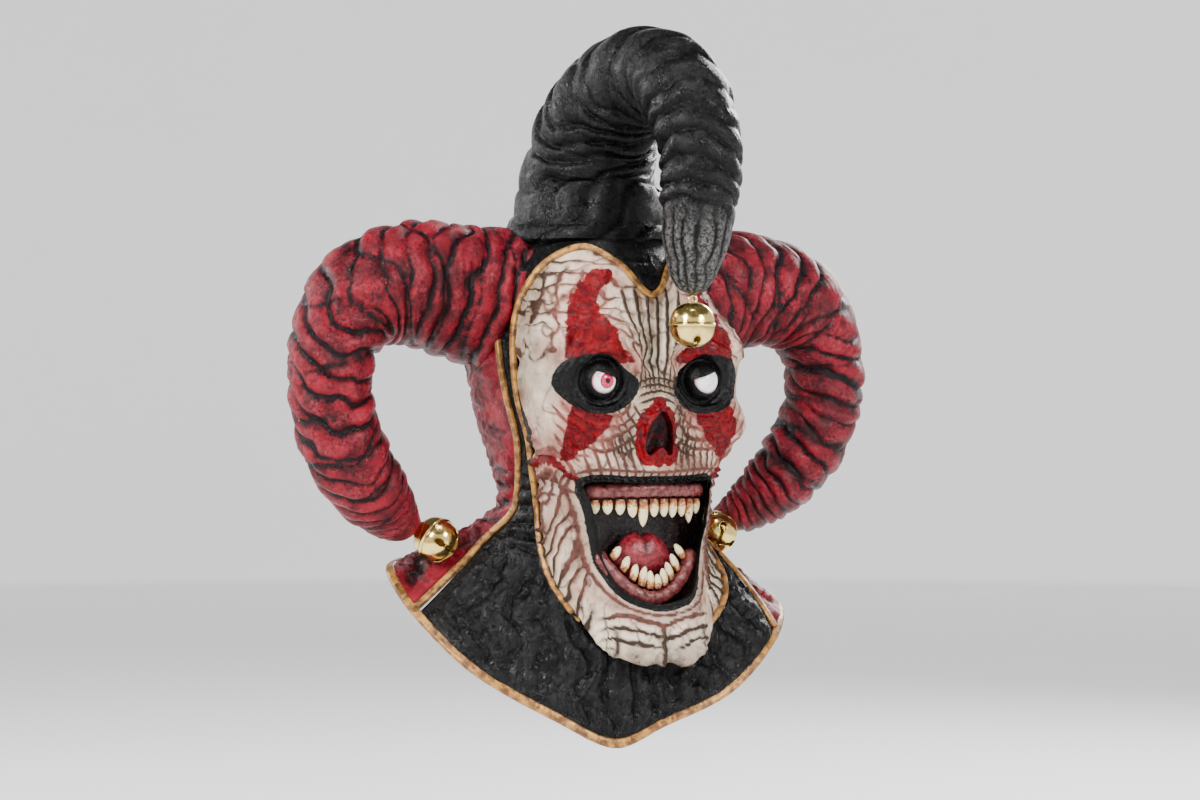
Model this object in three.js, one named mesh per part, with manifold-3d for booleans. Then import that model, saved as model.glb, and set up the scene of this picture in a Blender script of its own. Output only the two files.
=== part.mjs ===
// A carnival mask of a grinning jester: a latex face set in a hooded cowl with three curled horns.
// Millimetres, +Z up, the face looks along -Y. The origin is where the crown of the head sits.
import * as THREE from "three";
import { mergeVertices } from "three/addons/utils/BufferGeometryUtils.js";
import Module from "manifold-3d";

const wasm = await Module();
wasm.setup();

// Driving sizes of the cowl
const headWidth = 180;
const headFront = 92;
const headBack = 98;
const crownRise = 8;
const collarReach = 149;
const collarTwist = 18;
const cowlWall = 3;
const clearance = 0.3;

// Driving sizes of the face, which sets how far the cowl hangs
const faceTop = -20;
const faceHeight = 292;
const neckDrop = faceHeight * 0.7123;
const bibDrop = faceHeight * 1.2877;
const faceWall = 5;
const faceRelief = 10;
const chinForward = 27;
const chinOverhang = 30;

// Driving sizes of the horns, measured along and across their centre lines
const sideHornReach = 214;
const sideHornDrop = faceHeight * 0.7945;
const sideHornBase = 50;
const sideHornBack = 20;
const topHornRise = 105;
const topHornForward = 136;
const topHornBase = headWidth * 0.314;
const topHornAside = 12;
const topHornTipDrop = 56;
const foldDepth = 2.6;
const sideHornFolds = 11;
const topHornFolds = 10;

// Driving sizes of the small pieces
const beadWidth = 5.2;
const beadHeight = 3;
const hemBeadWidth = 7;
const bellRadius = 17;
const bellWall = 1.2;
const bellSlotWidth = 2.4;
const bellLoopHeight = 4;
const bellBallRadius = 4;
const eyeRadius = 13;
const eyeSpread = headWidth * 0.2389;
const eyeDrop = faceHeight * 0.3322 - faceTop;
const mouthTop = faceTop - faceHeight * 0.5925;
const mouthHeight = 88;
const mouthHalfWidth = 54;
const mouthDepth = 27;
const liningWall = 2;
const toothLength = 13.6;
const toothWidth = 6.8;
const toothLift = 0.9;
const gumHeight = 11;
const gumThickness = 9;
const tongueWidth = 50;
const tongueLength = 38;
const tongueThickness = 28;
const noseWidth = 24;
const noseHeight = 30;
const noseDrop = faceHeight * 0.3904 - faceTop;

// How finely the surfaces are faceted, and how far a patch is drawn in towards the axis
const cowlFacets = { front: 14, back: 12, along: 16, hollowAround: 20, hollowAlong: 12, hem: 40 };
const faceFacets = { across: 24, along: 25, hollowAcross: 18, hollowAlong: 16 };
const hornFacets = { side: { rings: 22, sides: 10 }, top: { rings: 26, sides: 11 } };
const ballFacets = { around: 10, along: 7 };
const coreShare = 0.12;

const turnOf = THREE.MathUtils.degToRad;
const headHalf = headWidth / 2;
const neckZ = -neckDrop;
const crownZ = crownRise;

// Horizontal sections of the head from crown to neck, as shares of its height, width and depths
const headSections = [
  { down: 0.0, wide: 0.63, front: 0.63, back: 0.59 },
  { down: 0.08, wide: 0.7, front: 0.74, back: 0.68 },
  { down: 0.22, wide: 0.89, front: 0.93, back: 0.85 },
  { down: 0.4, wide: 1.0, front: 1.0, back: 0.98 },
  { down: 0.62, wide: 1.0, front: 1.0, back: 1.0 },
  { down: 0.79, wide: 0.87, front: 0.92, back: 0.87 },
  { down: 0.93, wide: 0.78, front: 0.82, back: 0.72 },
  { down: 1.0, wide: 0.77, front: 0.8, back: 0.7 },
];

// The hem round the collar: turn in degrees from the bib's middle, shares of its reach and its drop
const hemSections = [
  { turn: -180, out: 0.72, drop: 0.72 },
  { turn: -140, out: 0.8, drop: 0.7 },
  { turn: -98, out: 0.96, drop: 0.74 },
  { turn: -72, out: 0.93, drop: 0.8 },
  { turn: -48, out: 0.8, drop: 0.9 },
  { turn: -22, out: 0.66, drop: 0.96 },
  { turn: 0, out: 0.62, drop: 1.0 },
  { turn: 24, out: 0.68, drop: 0.95 },
  { turn: 52, out: 0.84, drop: 0.86 },
  { turn: 74, out: 0.96, drop: 0.75 },
  { turn: 92, out: 1.0, drop: 0.675 },
  { turn: 140, out: 0.82, drop: 0.68 },
  { turn: 180, out: 0.72, drop: 0.72 },
];

// The seam between the front and back of the cowl: share of the way down, turn in degrees each side
const seamRows = [
  { down: 0.0, right: 95, left: 95 },
  { down: 0.2, right: 80, left: 80 },
  { down: 0.4, right: 72, left: 72 },
  { down: 0.55, right: 82, left: 80 },
  { down: 0.66, right: 92, left: 84 },
  { down: 0.8, right: 93, left: 68 },
  { down: 1.0, right: 92, left: 54 },
];

// The heart-shaped edge of the face, right half: turn in degrees, share of the face's height
const faceEdgeRows = [
  { turn: 0, down: 0.12 },
  { turn: 16, down: 0.045 },
  { turn: 36, down: 0.0 },
  { turn: 57, down: 0.045 },
  { turn: 67, down: 0.15 },
  { turn: 67, down: 0.3 },
  { turn: 65, down: 0.45 },
  { turn: 66, down: 0.6 },
  { turn: 58, down: 0.76 },
  { turn: 44, down: 0.88 },
  { turn: 24, down: 0.965 },
  { turn: 0, down: 1.0 },
];

// Broad forms of the face, which the hollow behind it follows: brow, cheekbones and muzzle. Across and
// wide are shares of the head's half width, down and tall of the face's height, rise of the relief.
const broadRows = [
  { across: 0.6, down: 0.34, wide: 0.38, tall: 0.17, rise: 2.2 },
  { across: 0.84, down: 0.25, wide: 0.22, tall: 0.085, rise: 1.9 },
  { across: 0.86, down: 0.465, wide: 0.24, tall: 0.08, rise: 3.3 },
  { across: 0.5, down: 0.62, wide: 0.34, tall: 0.13, rise: 1.9 },
  { across: 0.0, down: 0.6, wide: 0.4, tall: 0.12, rise: 0.9 },
];

// Mounds and hollows on the outside of the face, in the same shares
const reliefRows = [
  { across: 0.44, down: 0.335, wide: 0.27, tall: 0.085, rise: -1.2 },
  { across: 0.36, down: 0.225, wide: 0.2, tall: 0.055, rise: 0.9 },
  { across: 0.13, down: 0.29, wide: 0.08, tall: 0.05, rise: 0.7 },
  { across: 0.0, down: 0.45, wide: 0.17, tall: 0.09, rise: 1.7 },
  { across: 0.72, down: 0.66, wide: 0.14, tall: 0.09, rise: -0.5 },
  { across: 0.17, down: 0.955, wide: 0.13, tall: 0.05, rise: 0.5 },
];

// Centre line of a side horn: shares of its reach, its drop, its set-back and its base radius
const sideHornRows = [
  { out: 0.2, drop: 0.26, back: 1.0, thick: 1.12 },
  { out: 0.44, drop: 0.235, back: 0.8, thick: 1.0 },
  { out: 0.68, drop: 0.2, back: 0.5, thick: 0.88 },
  { out: 0.87, drop: 0.245, back: 0.2, thick: 0.76 },
  { out: 0.98, drop: 0.38, back: 0.05, thick: 0.62 },
  { out: 0.99, drop: 0.56, back: 0.1, thick: 0.58 },
  { out: 0.92, drop: 0.73, back: 0.3, thick: 0.58 },
  { out: 0.81, drop: 0.85, back: 0.65, thick: 0.52 },
  { out: 0.7, drop: 0.93, back: 1.15, thick: 0.36 },
  { out: 0.6, drop: 0.965, back: 1.65, thick: 0.1 },
];

// Centre line of the top horn: shares of its forward reach, rise, sideways drift and base radius
const topHornRows = [
  { forward: 0.0, rise: 0.083, aside: 0.0, thick: 1.0 },
  { forward: -0.02, rise: 0.2, aside: 0.0, thick: 0.93 },
  { forward: 0.02, rise: 0.46, aside: 0.0, thick: 0.84 },
  { forward: 0.13, rise: 0.74, aside: 0.1, thick: 0.76 },
  { forward: 0.34, rise: 0.95, aside: 0.3, thick: 0.66 },
  { forward: 0.62, rise: 1.0, aside: 0.6, thick: 0.58 },
  { forward: 0.88, rise: 0.82, aside: 0.85, thick: 0.54 },
  { forward: 1.0, rise: 0.5, aside: 1.0, thick: 0.51 },
  { forward: 1.0, rise: 0.14, aside: 1.0, thick: 0.47 },
];

// The last stretch of the top horn, down to its tip: shares of the tip's drop and of the base radius
const topHornTipRows = [
  { forward: 0.97, drop: 0.36, thick: 0.39 },
  { forward: 0.94, drop: 0.76, thick: 0.28 },
  { forward: 0.93, drop: 1.0, thick: 0.12 },
];

// Outline of a nostril from its top round the outside: shares of the nose's half width and height
const nostrilRows = [
  { across: 0.17, up: 0.4 },
  { across: 0.5, up: 0.17 },
  { across: 0.8, up: -0.15 },
  { across: 0.92, up: -0.47 },
  { across: 0.72, up: -0.56 },
  { across: 0.46, up: -0.57 },
  { across: 0.17, up: -0.47 },
];

// Section of a gum: shares of half its thickness outwards, and of its height towards the teeth
const gumRows = [
  { out: -2.2, up: -1 },
  { out: 1, up: -1 },
  { out: 1, up: -0.3 },
  { out: 0.5, up: 0 },
  { out: -0.5, up: 0 },
  { out: -2.2, up: -0.3 },
];

// Sections of a tooth from its root: shares of its length and width
const toothRows = [
  { along: 0, wide: 0.85 },
  { along: 0.4, wide: 1 },
  { along: 1, wide: 0.3 },
];

const material = (color, roughness, metalness = 0) =>
  new THREE.MeshStandardMaterial({ color, roughness, metalness });
const boneLatex = material(0xd8cdbb, 0.55);
const blackLatex = material(0x151516, 0.4);
const redLatex = material(0x8a1626, 0.5);
const goldPaint = material(0xa8701f, 0.45, 0.3);
const brass = material(0xc8a83c, 0.22, 1);
const eyeWhite = material(0xe8dedb, 0.15);
const gumLatex = material(0x7c3a40, 0.4);
const toothEnamel = material(0xd9c59a, 0.35);
const tongueLatex = material(0x6b1a24, 0.35);

// Value of one column of a table at a place between its rows, on a smooth curve through them
function lookUp(rows, key, at, column) {
  let i = 0;
  while (i < rows.length - 2 && rows[i + 1][key] < at) i++;
  const a = rows[i];
  const b = rows[i + 1];
  const before = rows[Math.max(i - 1, 0)];
  const after = rows[Math.min(i + 2, rows.length - 1)];
  const span = b[key] - a[key];
  const t = THREE.MathUtils.clamp((at - a[key]) / span, 0, 1);
  const slopeA = ((b[column] - before[column]) / (b[key] - before[key])) * span;
  const slopeB = ((after[column] - a[column]) / (after[key] - a[key])) * span;
  const t2 = t * t;
  const t3 = t2 * t;
  return (
    (2 * t3 - 3 * t2 + 1) * a[column] +
    (t3 - 2 * t2 + t) * slopeA +
    (3 * t2 - 2 * t3) * b[column] +
    (t3 - t2) * slopeB
  );
}

// A closed mesh from points and triangles, turned to face outwards
function closedGeometry(points, triangles) {
  let volume = 0;
  const cross = new THREE.Vector3();
  for (const [a, b, c] of triangles)
    volume += points[a].dot(cross.crossVectors(points[b], points[c]));
  const ordered = volume < 0 ? triangles.map(([a, b, c]) => [a, c, b]) : triangles;
  return new THREE.BufferGeometry().setFromPoints(points).setIndex(ordered.flat());
}

// Joins equal rings of points into a closed solid, capped at both ends or run round in a loop
function loft(rings, looped = false) {
  const around = rings[0].length;
  const points = rings.flat();
  const triangles = [];
  const last = looped ? rings.length : rings.length - 1;
  for (let k = 0; k < last; k++)
    for (let i = 0; i < around; i++) {
      const j = (i + 1) % around;
      const here = k * around;
      const next = ((k + 1) % rings.length) * around;
      triangles.push([here + i, here + j, next + j], [here + i, next + j, next + i]);
    }
  if (!looped)
    for (const [ring, first] of [[rings[0], 0], [rings.at(-1), (rings.length - 1) * around]]) {
      const centre = points.length;
      points.push(ring.reduce((s, p) => s.add(p), new THREE.Vector3()).divideScalar(around));
      for (let i = 0; i < around; i++) {
        const j = (i + 1) % around;
        triangles.push(first ? [centre, first + i, first + j] : [centre, first + j, first + i]);
      }
    }
  return closedGeometry(points, triangles);
}

function solidOf(geometry) {
  const bare = new THREE.BufferGeometry();
  bare.setAttribute("position", geometry.getAttribute("position"));
  if (geometry.index) bare.setIndex(geometry.index);
  const merged = mergeVertices(bare, 1e-4);
  const mesh = { vertProperties: merged.attributes.position.array, triVerts: merged.index.array };
  mesh.triVerts = new Uint32Array(mesh.triVerts);
  return new wasm.Manifold(new wasm.Mesh({ numProp: 3, ...mesh }));
}

function geometryOf(solid) {
  const mesh = solid.getMesh();
  return new THREE.BufferGeometry()
    .setAttribute("position", new THREE.BufferAttribute(mesh.vertProperties, 3))
    .setIndex(new THREE.BufferAttribute(mesh.triVerts, 1));
}

// The biggest body of a cut, without the crumbs that a cut can leave
function mainBody(solid) {
  return solid.decompose().reduce((a, b) => (b.volume() > a.volume() ? b : a));
}

// Outer surface of the cowl: turn in degrees from the front, positive to the wearer's right (-X).
// The neck lies at a share of the way down, and below it the collar flares and falls by a power.
const neckShare = 0.55;
const flarePower = 1.3;
const fallPower = 0.92;
const crownPlug = 100;
function cowlBase(turn, down) {
  const headDown = Math.min(down / neckShare, 1);
  const angle = turnOf(turn);
  const wide = headHalf * lookUp(headSections, "down", headDown, "wide");
  const ahead = headFront * lookUp(headSections, "down", headDown, "front");
  const behind = headBack * lookUp(headSections, "down", headDown, "back");
  const deep = Math.cos(angle) > 0 ? ahead : behind;
  const neck = new THREE.Vector3(-wide * Math.sin(angle), -deep * Math.cos(angle), 0);
  neck.z = crownZ - (crownZ - neckZ) * headDown + Math.max(0, -down) * crownPlug;
  if (down <= neckShare) return neck;
  const t = (down - neckShare) / (1 - neckShare);
  let hemTurn = turn - collarTwist;
  if (hemTurn < -180) hemTurn += 360;
  if (hemTurn > 180) hemTurn -= 360;
  const reach = collarReach * lookUp(hemSections, "turn", hemTurn, "out");
  const hemZ = -bibDrop * lookUp(hemSections, "turn", hemTurn, "drop");
  const hem = new THREE.Vector3(-reach * Math.sin(angle), -reach * Math.cos(angle), hemZ);
  const out = Math.pow(t, flarePower);
  return new THREE.Vector3(
    THREE.MathUtils.lerp(neck.x, hem.x, out),
    THREE.MathUtils.lerp(neck.y, hem.y, out),
    THREE.MathUtils.lerp(neck.z, hem.z, Math.pow(t, fallPower)),
  );
}

// A point lifted off the cowl's surface along its normal
function cowlPoint(turn, down, lift = 0) {
  const here = cowlBase(turn, down);
  if (!lift) return here;
  const across = cowlBase(turn + 1, down).sub(cowlBase(turn - 1, down));
  const along = cowlBase(turn, Math.min(down + 0.01, 1)).sub(cowlBase(turn, Math.min(down, 1) - 0.01));
  return here.addScaledVector(across.cross(along).normalize(), lift);
}

// How far down the cowl a height lies, found by halving
function downAt(turn, z) {
  let low = 0;
  let high = 1;
  for (let k = 0; k < 24; k++) {
    const middle = (low + high) / 2;
    if (cowlBase(turn, middle).z > z) low = middle;
    else high = middle;
  }
  return (low + high) / 2;
}

// A closed solid between a patch of surface and the same patch drawn in towards the axis
function patchSolid(surface, across, along) {
  const rings = [];
  for (let k = 0; k <= along; k++) {
    const outer = [];
    for (let i = 0; i <= across; i++) outer.push(surface(i / across, k / along));
    const core = (p) => new THREE.Vector3(p.x * coreShare, p.y * coreShare, p.z);
    rings.push([...outer, core(outer.at(-1)), core(outer[0])]);
  }
  return solidOf(loft(rings));
}

// The hollow inside the cowl, open at the crown and at the hem
function cavitySolid() {
  const { hollowAround, hollowAlong } = cowlFacets;
  const past = 0.05;
  const rings = [];
  for (let k = 0; k <= hollowAlong; k++) {
    const down = THREE.MathUtils.lerp(-past, 1 + past, k / hollowAlong);
    const ring = [];
    for (let i = 0; i < hollowAround; i++)
      ring.push(cowlPoint((360 * i) / hollowAround - 180, down, -cowlWall));
    rings.push(ring);
  }
  const below = rings.at(-1).map((p) => new THREE.Vector3(p.x, p.y, p.z - hemBeadWidth * 8));
  return solidOf(loft([...rings, below]));
}

// The edge of the face as a closed loop of points, moved off the edge across the surface
const edgeCount = 40;
function faceEdge(offset) {
  const half = faceEdgeRows.map((r) => new THREE.Vector2(r.turn, faceTop - faceHeight * r.down));
  const curve = new THREE.SplineCurve(half);
  const right = curve.getSpacedPoints(edgeCount / 2);
  const left = right.slice(1, -1).map((p) => new THREE.Vector2(-p.x, p.y)).reverse();
  const loop = [...right, ...left];
  const perDegree = turnOf(headHalf);
  return loop.map((p, i) => {
    const before = loop[(i + loop.length - 1) % loop.length];
    const after = loop[(i + 1) % loop.length];
    const along = new THREE.Vector2((after.x - before.x) * perDegree, after.y - before.y).normalize();
    return new THREE.Vector2(p.x + (along.y * -offset) / perDegree, p.y + along.x * offset);
  });
}

// A wedge through the wall whose outline is the face's edge, falling outwards under the chin
const wedge = { near: 0.1, far: 6, slope: 0.9, fallFrom: 0.82, fallFull: 0.98 };
function edgeCutter(offset) {
  const edge = faceEdge(offset);
  const loop = THREE.ShapeUtils.isClockWise(edge) ? edge.reverse() : edge;
  const ringAt = (share) =>
    loop.map((p) => {
      const on = cowlBase(p.x, downAt(p.x, p.y));
      const down = (faceTop - p.y) / faceHeight;
      const slope = wedge.slope * THREE.MathUtils.smoothstep(down, wedge.fallFrom, wedge.fallFull);
      const fall = slope * (share - 1) * Math.hypot(on.x, on.y);
      return new THREE.Vector3(on.x * share, on.y * share, p.y - fall);
    });
  const n = loop.length;
  const triangles = [];
  for (const face of THREE.ShapeUtils.triangulateShape(loop, [])) {
    const backwards = THREE.ShapeUtils.isClockWise(face.map((i) => loop[i]));
    const [a, b, c] = backwards ? [...face].reverse() : face;
    triangles.push([a, c, b], [n + a, n + b, n + c]);
  }
  for (let i = 0; i < n; i++) {
    const j = (i + 1) % n;
    triangles.push([i, j, n + j], [i, n + j, n + i]);
  }
  return solidOf(closedGeometry([...ringAt(wedge.near), ...ringAt(wedge.far)], triangles));
}

// How far the forms of a table stand off at a place of the face seen from the front
function formAt(rows, x, z) {
  const across = Math.abs(x) / headHalf;
  const down = (faceTop - z) / faceHeight;
  return rows.reduce((sum, r) => {
    const dx = (across - r.across) / r.wide;
    const dz = (down - r.down) / r.tall;
    return sum + r.rise * faceRelief * Math.exp(-dx * dx - dz * dz);
  }, 0);
}

// How far the jaw stands forward of the neck, dying out under the chin. Heights are shares of the
// face's, widths of the head's half width.
const jawRange = { from: 0.45, full: 0.76, under: 0.925, end: 0.995 };
const jawWidths = { cheek: 1.1, chin: 0.62, fallOff: 2.2 };
function jawAt(x, z) {
  const across = Math.abs(x) / headHalf;
  const down = (faceTop - z) / faceHeight;
  const jaw = THREE.MathUtils.smoothstep(down, jawRange.from, jawRange.full);
  const width = THREE.MathUtils.lerp(jawWidths.cheek, jawWidths.chin, jaw);
  const share = Math.exp(-Math.pow(across / width, 4) * jawWidths.fallOff);
  const under = THREE.MathUtils.smoothstep(down, jawRange.under, jawRange.end);
  return chinForward * jaw * share * (1 - under);
}

// A point of the face's surface, or of the hollow behind it, which follows no mounds. The patch laps
// past the face's edge, and its relief fades out towards its sides.
const faceHalfTurn = 74;
const faceLap = 6;
const sideTurn = 67;
const sideFade = 0.16;
const hollowGain = 1.3;
const chinFrom = 0.84;
const chinFull = 0.97;
function facePoint(u, v, depth, hollow) {
  const turn = faceHalfTurn * (1 - 2 * u);
  const z = THREE.MathUtils.lerp(faceTop + faceLap, faceTop - faceHeight - faceLap, v);
  const on = cowlPoint(turn, downAt(turn, z), -depth);
  const fade = THREE.MathUtils.smoothstep(1 - Math.abs(turn) / sideTurn, 0, sideFade);
  const relief = formAt(reliefRows, on.x, z);
  const broad = jawAt(on.x, z) + formAt(broadRows, on.x, z);
  const rise = fade * (broad + (hollow ? Math.min(0, relief * hollowGain) : relief));
  const below = THREE.MathUtils.smoothstep((faceTop - z) / faceHeight, chinFrom, chinFull);
  on.addScaledVector(new THREE.Vector3(on.x * 0.25, on.y, 0).normalize(), rise);
  on.z -= (below * chinOverhang * rise) / chinForward;
  return on;
}

// The mouth's opening seen from the front, grown by a margin
const mouthFloorShare = 0.58;
const mouthCorner = 4;
function mouthShape(margin) {
  const top = mouthTop + margin;
  const low = mouthTop - mouthHeight - margin;
  const wide = mouthHalfWidth + margin;
  const narrow = mouthHalfWidth * mouthFloorShare + margin;
  const cheek = top - mouthHeight * 0.4;
  const corner = top + mouthCorner;
  const shape = new THREE.Shape();
  shape.moveTo(-wide, corner);
  shape.quadraticCurveTo(0, top - mouthCorner, wide, corner);
  shape.bezierCurveTo(wide, cheek, narrow + mouthCorner, low + mouthCorner, narrow - mouthCorner, low);
  shape.quadraticCurveTo(0, low - mouthCorner, -narrow + mouthCorner, low);
  shape.bezierCurveTo(-narrow - mouthCorner, low + mouthCorner, -wide, cheek, -wide, corner);
  return shape;
}

// A prism from the mouth's shape, from one distance in front of the axis to another
function mouthPrism(margin, near, far) {
  const extruded = new THREE.ExtrudeGeometry(mouthShape(margin), {
    depth: far - near,
    bevelEnabled: false,
    curveSegments: 7,
  });
  extruded.rotateX(Math.PI / 2).translate(0, -near, 0);
  return solidOf(extruded);
}

function nostril(side) {
  const outline = nostrilRows.map((r) => new THREE.Vector2((r.across * noseWidth) / 2, r.up * noseHeight));
  const drop = new THREE.ExtrudeGeometry(new THREE.Shape(outline), { depth: headHalf, bevelEnabled: false });
  drop.rotateX(Math.PI / 2).translate(0, -headFront * 0.6, faceTop - noseDrop);
  if (side > 0) return solidOf(drop);
  return solidOf(drop).mirror([1, 0, 0]);
}

// A tube through table points with a fold that winds round it and fades at both ends
const foldSlant = 1.5;
const foldFade = 8;
function hornSolid(centres, radii, { rings, sides }, planeNormal, foldCount) {
  const curve = new THREE.CatmullRomCurve3(centres, false, "centripetal");
  const sections = [];
  for (let k = 0; k <= rings; k++) {
    const t = k / rings;
    const at = curve.getPoint(t);
    const tangent = curve.getTangent(t);
    const side = new THREE.Vector3().crossVectors(tangent, planeNormal).normalize();
    const other = new THREE.Vector3().crossVectors(tangent, side).normalize();
    const place = t * (radii.length - 1);
    const index = Math.min(Math.floor(place), radii.length - 2);
    const radius = THREE.MathUtils.lerp(radii[index], radii[index + 1], place - index);
    const ring = [];
    for (let i = 0; i < sides; i++) {
      const a = (2 * Math.PI * i) / sides;
      const fold = Math.sin(foldCount * 2 * Math.PI * t + foldSlant * Math.sin(a));
      const ends = Math.min(1, foldFade * t, foldFade * (1 - t));
      const r = radius + foldDepth * fold * ends;
      ring.push(
        at.clone().addScaledVector(side, r * Math.cos(a)).addScaledVector(other, r * Math.sin(a)),
      );
    }
    sections.push(ring);
  }
  return solidOf(loft(sections));
}

// A raised bead along a line on the cowl, or the slot that it needs in what it meets
const beadShoulder = { wide: 0.5, high: 0.35 };
function beadSections(places, slot) {
  const half = beadWidth / 2 + (slot ? 3 * clearance : 0);
  const low = slot ? -3 * faceWall : -cowlWall;
  const high = slot ? 2 * beadHeight : beadHeight;
  return places.map(({ at, across, out }) => {
    const corner = (w, h) => at.clone().addScaledVector(across, w * half).addScaledVector(out, h);
    const shoulder = slot ? 1 : beadShoulder.wide;
    return [
      corner(-1, low),
      corner(-1, beadHeight * beadShoulder.high),
      corner(-shoulder, high),
      corner(shoulder, high),
      corner(1, beadHeight * beadShoulder.high),
      corner(1, low),
    ];
  });
}

function cowlNormal(turn, down) {
  return cowlPoint(turn, down, 1).sub(cowlPoint(turn, down)).normalize();
}

function faceTrim(slot = false) {
  const loop = faceEdge(0);
  const on = loop.map((p) => ({ turn: p.x, down: downAt(p.x, p.y) }));
  const points = on.map((p) => cowlPoint(p.turn, p.down));
  const places = points.map((at, i) => {
    const along = points[(i + 1) % points.length]
      .clone()
      .sub(points[(i + points.length - 1) % points.length]);
    const out = cowlNormal(on[i].turn, on[i].down);
    return { at, out, across: along.cross(out).normalize() };
  });
  return loft(beadSections(places, slot), true);
}

const seamTurn = (side, down) =>
  side > 0 ? lookUp(seamRows, "down", down, "right") : -lookUp(seamRows, "down", down, "left");

// A seam's bead ends just short of the hem, and its slot runs a step past both ends
const seamStep = 0.02;
const seamEnd = 0.992;
const seamCount = 17;
function seamTrim(side, slot = false) {
  const stations = Array.from({ length: seamCount + 1 }, (_, k) => (seamEnd * k) / seamCount);
  if (slot) stations.unshift(-seamStep);
  if (slot) stations.push(1 + seamStep);
  const places = stations.map((down) => {
    const turn = seamTurn(side, down);
    const next = Math.min(down + seamStep, 1);
    const last = Math.max(down - seamStep, 0);
    const ahead = cowlPoint(seamTurn(side, next), next);
    const behind = cowlPoint(seamTurn(side, last), last);
    const out = cowlNormal(turn, down);
    const across = ahead.sub(behind).cross(out).normalize();
    return { at: cowlPoint(turn, down), out, across };
  });
  return loft(beadSections(places, slot));
}

function hemTrim(slot = false) {
  const rings = [];
  for (let k = 0; k < cowlFacets.hem; k++) {
    const turn = (360 * k) / cowlFacets.hem - 180;
    const out = cowlNormal(turn, 1);
    const down = cowlBase(turn, 1).sub(cowlBase(turn, 0.985)).normalize();
    const grown = slot ? 2 * clearance : 0;
    const at = cowlPoint(turn, 1, -cowlWall / 2).addScaledVector(down, hemBeadWidth / 2 - cowlWall / 2);
    const ring = [];
    for (let i = 0; i < 6; i++) {
      const a = (Math.PI * (2 * i + 1)) / 6;
      ring.push(
        at.clone()
          .addScaledVector(down, Math.cos(a) * (hemBeadWidth / 2 + grown))
          .addScaledVector(out, Math.sin(a) * (cowlWall + grown)),
      );
    }
    rings.push(ring);
  }
  return loft(rings, true);
}

const cavity = cavitySolid();
const faceTrimSlot = solidOf(faceTrim(true));
const seamSlots = solidOf(seamTrim(1, true)).add(solidOf(seamTrim(-1, true)));

// One half of the cowl's outer form between its seams, lifted off by a length
function cowlForm(front, lift) {
  const surface = (u, v) => {
    const turn = THREE.MathUtils.lerp(seamTurn(1, v), seamTurn(-1, v) + (front ? 0 : 360), u);
    return cowlPoint(turn > 180 ? turn - 360 : turn, v, lift);
  };
  return patchSolid(surface, front ? cowlFacets.front : cowlFacets.back, cowlFacets.along);
}
const hemSlot = solidOf(hemTrim(true));
const cowlHalf = (front) =>
  mainBody(cowlForm(front, 0).subtract(cavity).subtract(seamSlots).subtract(hemSlot));

const root = new THREE.Group();
function add(name, geometry, look) {
  const mesh = new THREE.Mesh(geometry, look);
  mesh.name = name;
  root.add(mesh);
  return mesh;
}

// The cowl, in a black front and a red back
const faceWindow = edgeCutter(0);
const cowlFront = mainBody(cowlHalf(true).subtract(faceWindow).subtract(faceTrimSlot));
add("cowl_front", geometryOf(cowlFront), blackLatex);
add("cowl_back", geometryOf(cowlHalf(false)), redLatex);
add("face_trim", faceTrim(), goldPaint);
for (const [name, side] of [["right", 1], ["left", -1]]) {
  const bead = solidOf(seamTrim(side)).subtract(hemSlot);
  add("seam_trim_" + name, geometryOf(mainBody(bead)), goldPaint);
}
add("hem_trim", hemTrim(), goldPaint);

// The face, with its eye sockets, nose and mouth cut in it
const { across: faceAcross, along: faceAlong, hollowAcross, hollowAlong } = faceFacets;
const faceOuter = patchSolid((u, v) => facePoint(u, v, 0, false), faceAcross, faceAlong);
const faceHollow = (depth) => patchSolid((u, v) => facePoint(u, v, depth, true), hollowAcross, hollowAlong);
const eyeAt = (side) => {
  const turn = THREE.MathUtils.radToDeg(Math.asin(eyeSpread / headHalf));
  const u = (1 - (side * turn) / faceHalfTurn) / 2;
  const v = (faceTop + faceLap + eyeDrop) / (faceHeight + 2 * faceLap);
  return facePoint(u, v, cowlWall, false);
};
const ball = (radius) => solidOf(new THREE.SphereGeometry(radius, ballFacets.around, ballFacets.along));
let face = faceOuter.intersect(faceWindow).subtract(faceHollow(faceWall)).subtract(faceTrimSlot);
face = face.subtract(mouthPrism(0, headFront / 2, headFront * 2));
for (const side of [1, -1]) {
  const at = eyeAt(side);
  face = face.subtract(ball(eyeRadius + clearance).translate([at.x, at.y, at.z]));
  face = face.subtract(nostril(side));
}
add("face", geometryOf(mainBody(face)), boneLatex);
for (const [name, side] of [["eye_right", 1], ["eye_left", -1]]) {
  const eyeball = new THREE.SphereGeometry(eyeRadius, ballFacets.around, ballFacets.along);
  const eye = add(name, eyeball, eyeWhite);
  eye.position.copy(eyeAt(side));
}

// Round bells: a hollow brass ball with a crossed slot, a loop on top and a loose ball inside
const bellSlotSpan = bellRadius * 1.5;
const bellLoopWire = bellLoopHeight * 0.2;
const bellLoopRing = bellLoopHeight * 0.62;
const bellLoopRise = bellLoopHeight * 0.16;
function bellGeometry() {
  const shell = ball(bellRadius).subtract(ball(bellRadius - bellWall));
  const slot = (x, y) => {
    const box = new THREE.BoxGeometry(x, y, bellRadius).translate(0, 0, -bellRadius * 0.95);
    return solidOf(box);
  };
  const crossed = slot(bellSlotSpan, bellSlotWidth).add(slot(bellSlotWidth, bellSlotSpan));
  const cut = shell.subtract(crossed);
  const loop = new THREE.TorusGeometry(bellLoopRing, bellLoopWire, 5, 8).rotateX(Math.PI / 2);
  loop.translate(0, 0, bellRadius + bellLoopRise);
  return geometryOf(cut.add(solidOf(loop).subtract(ball(bellRadius - bellWall / 2))));
}
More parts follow.
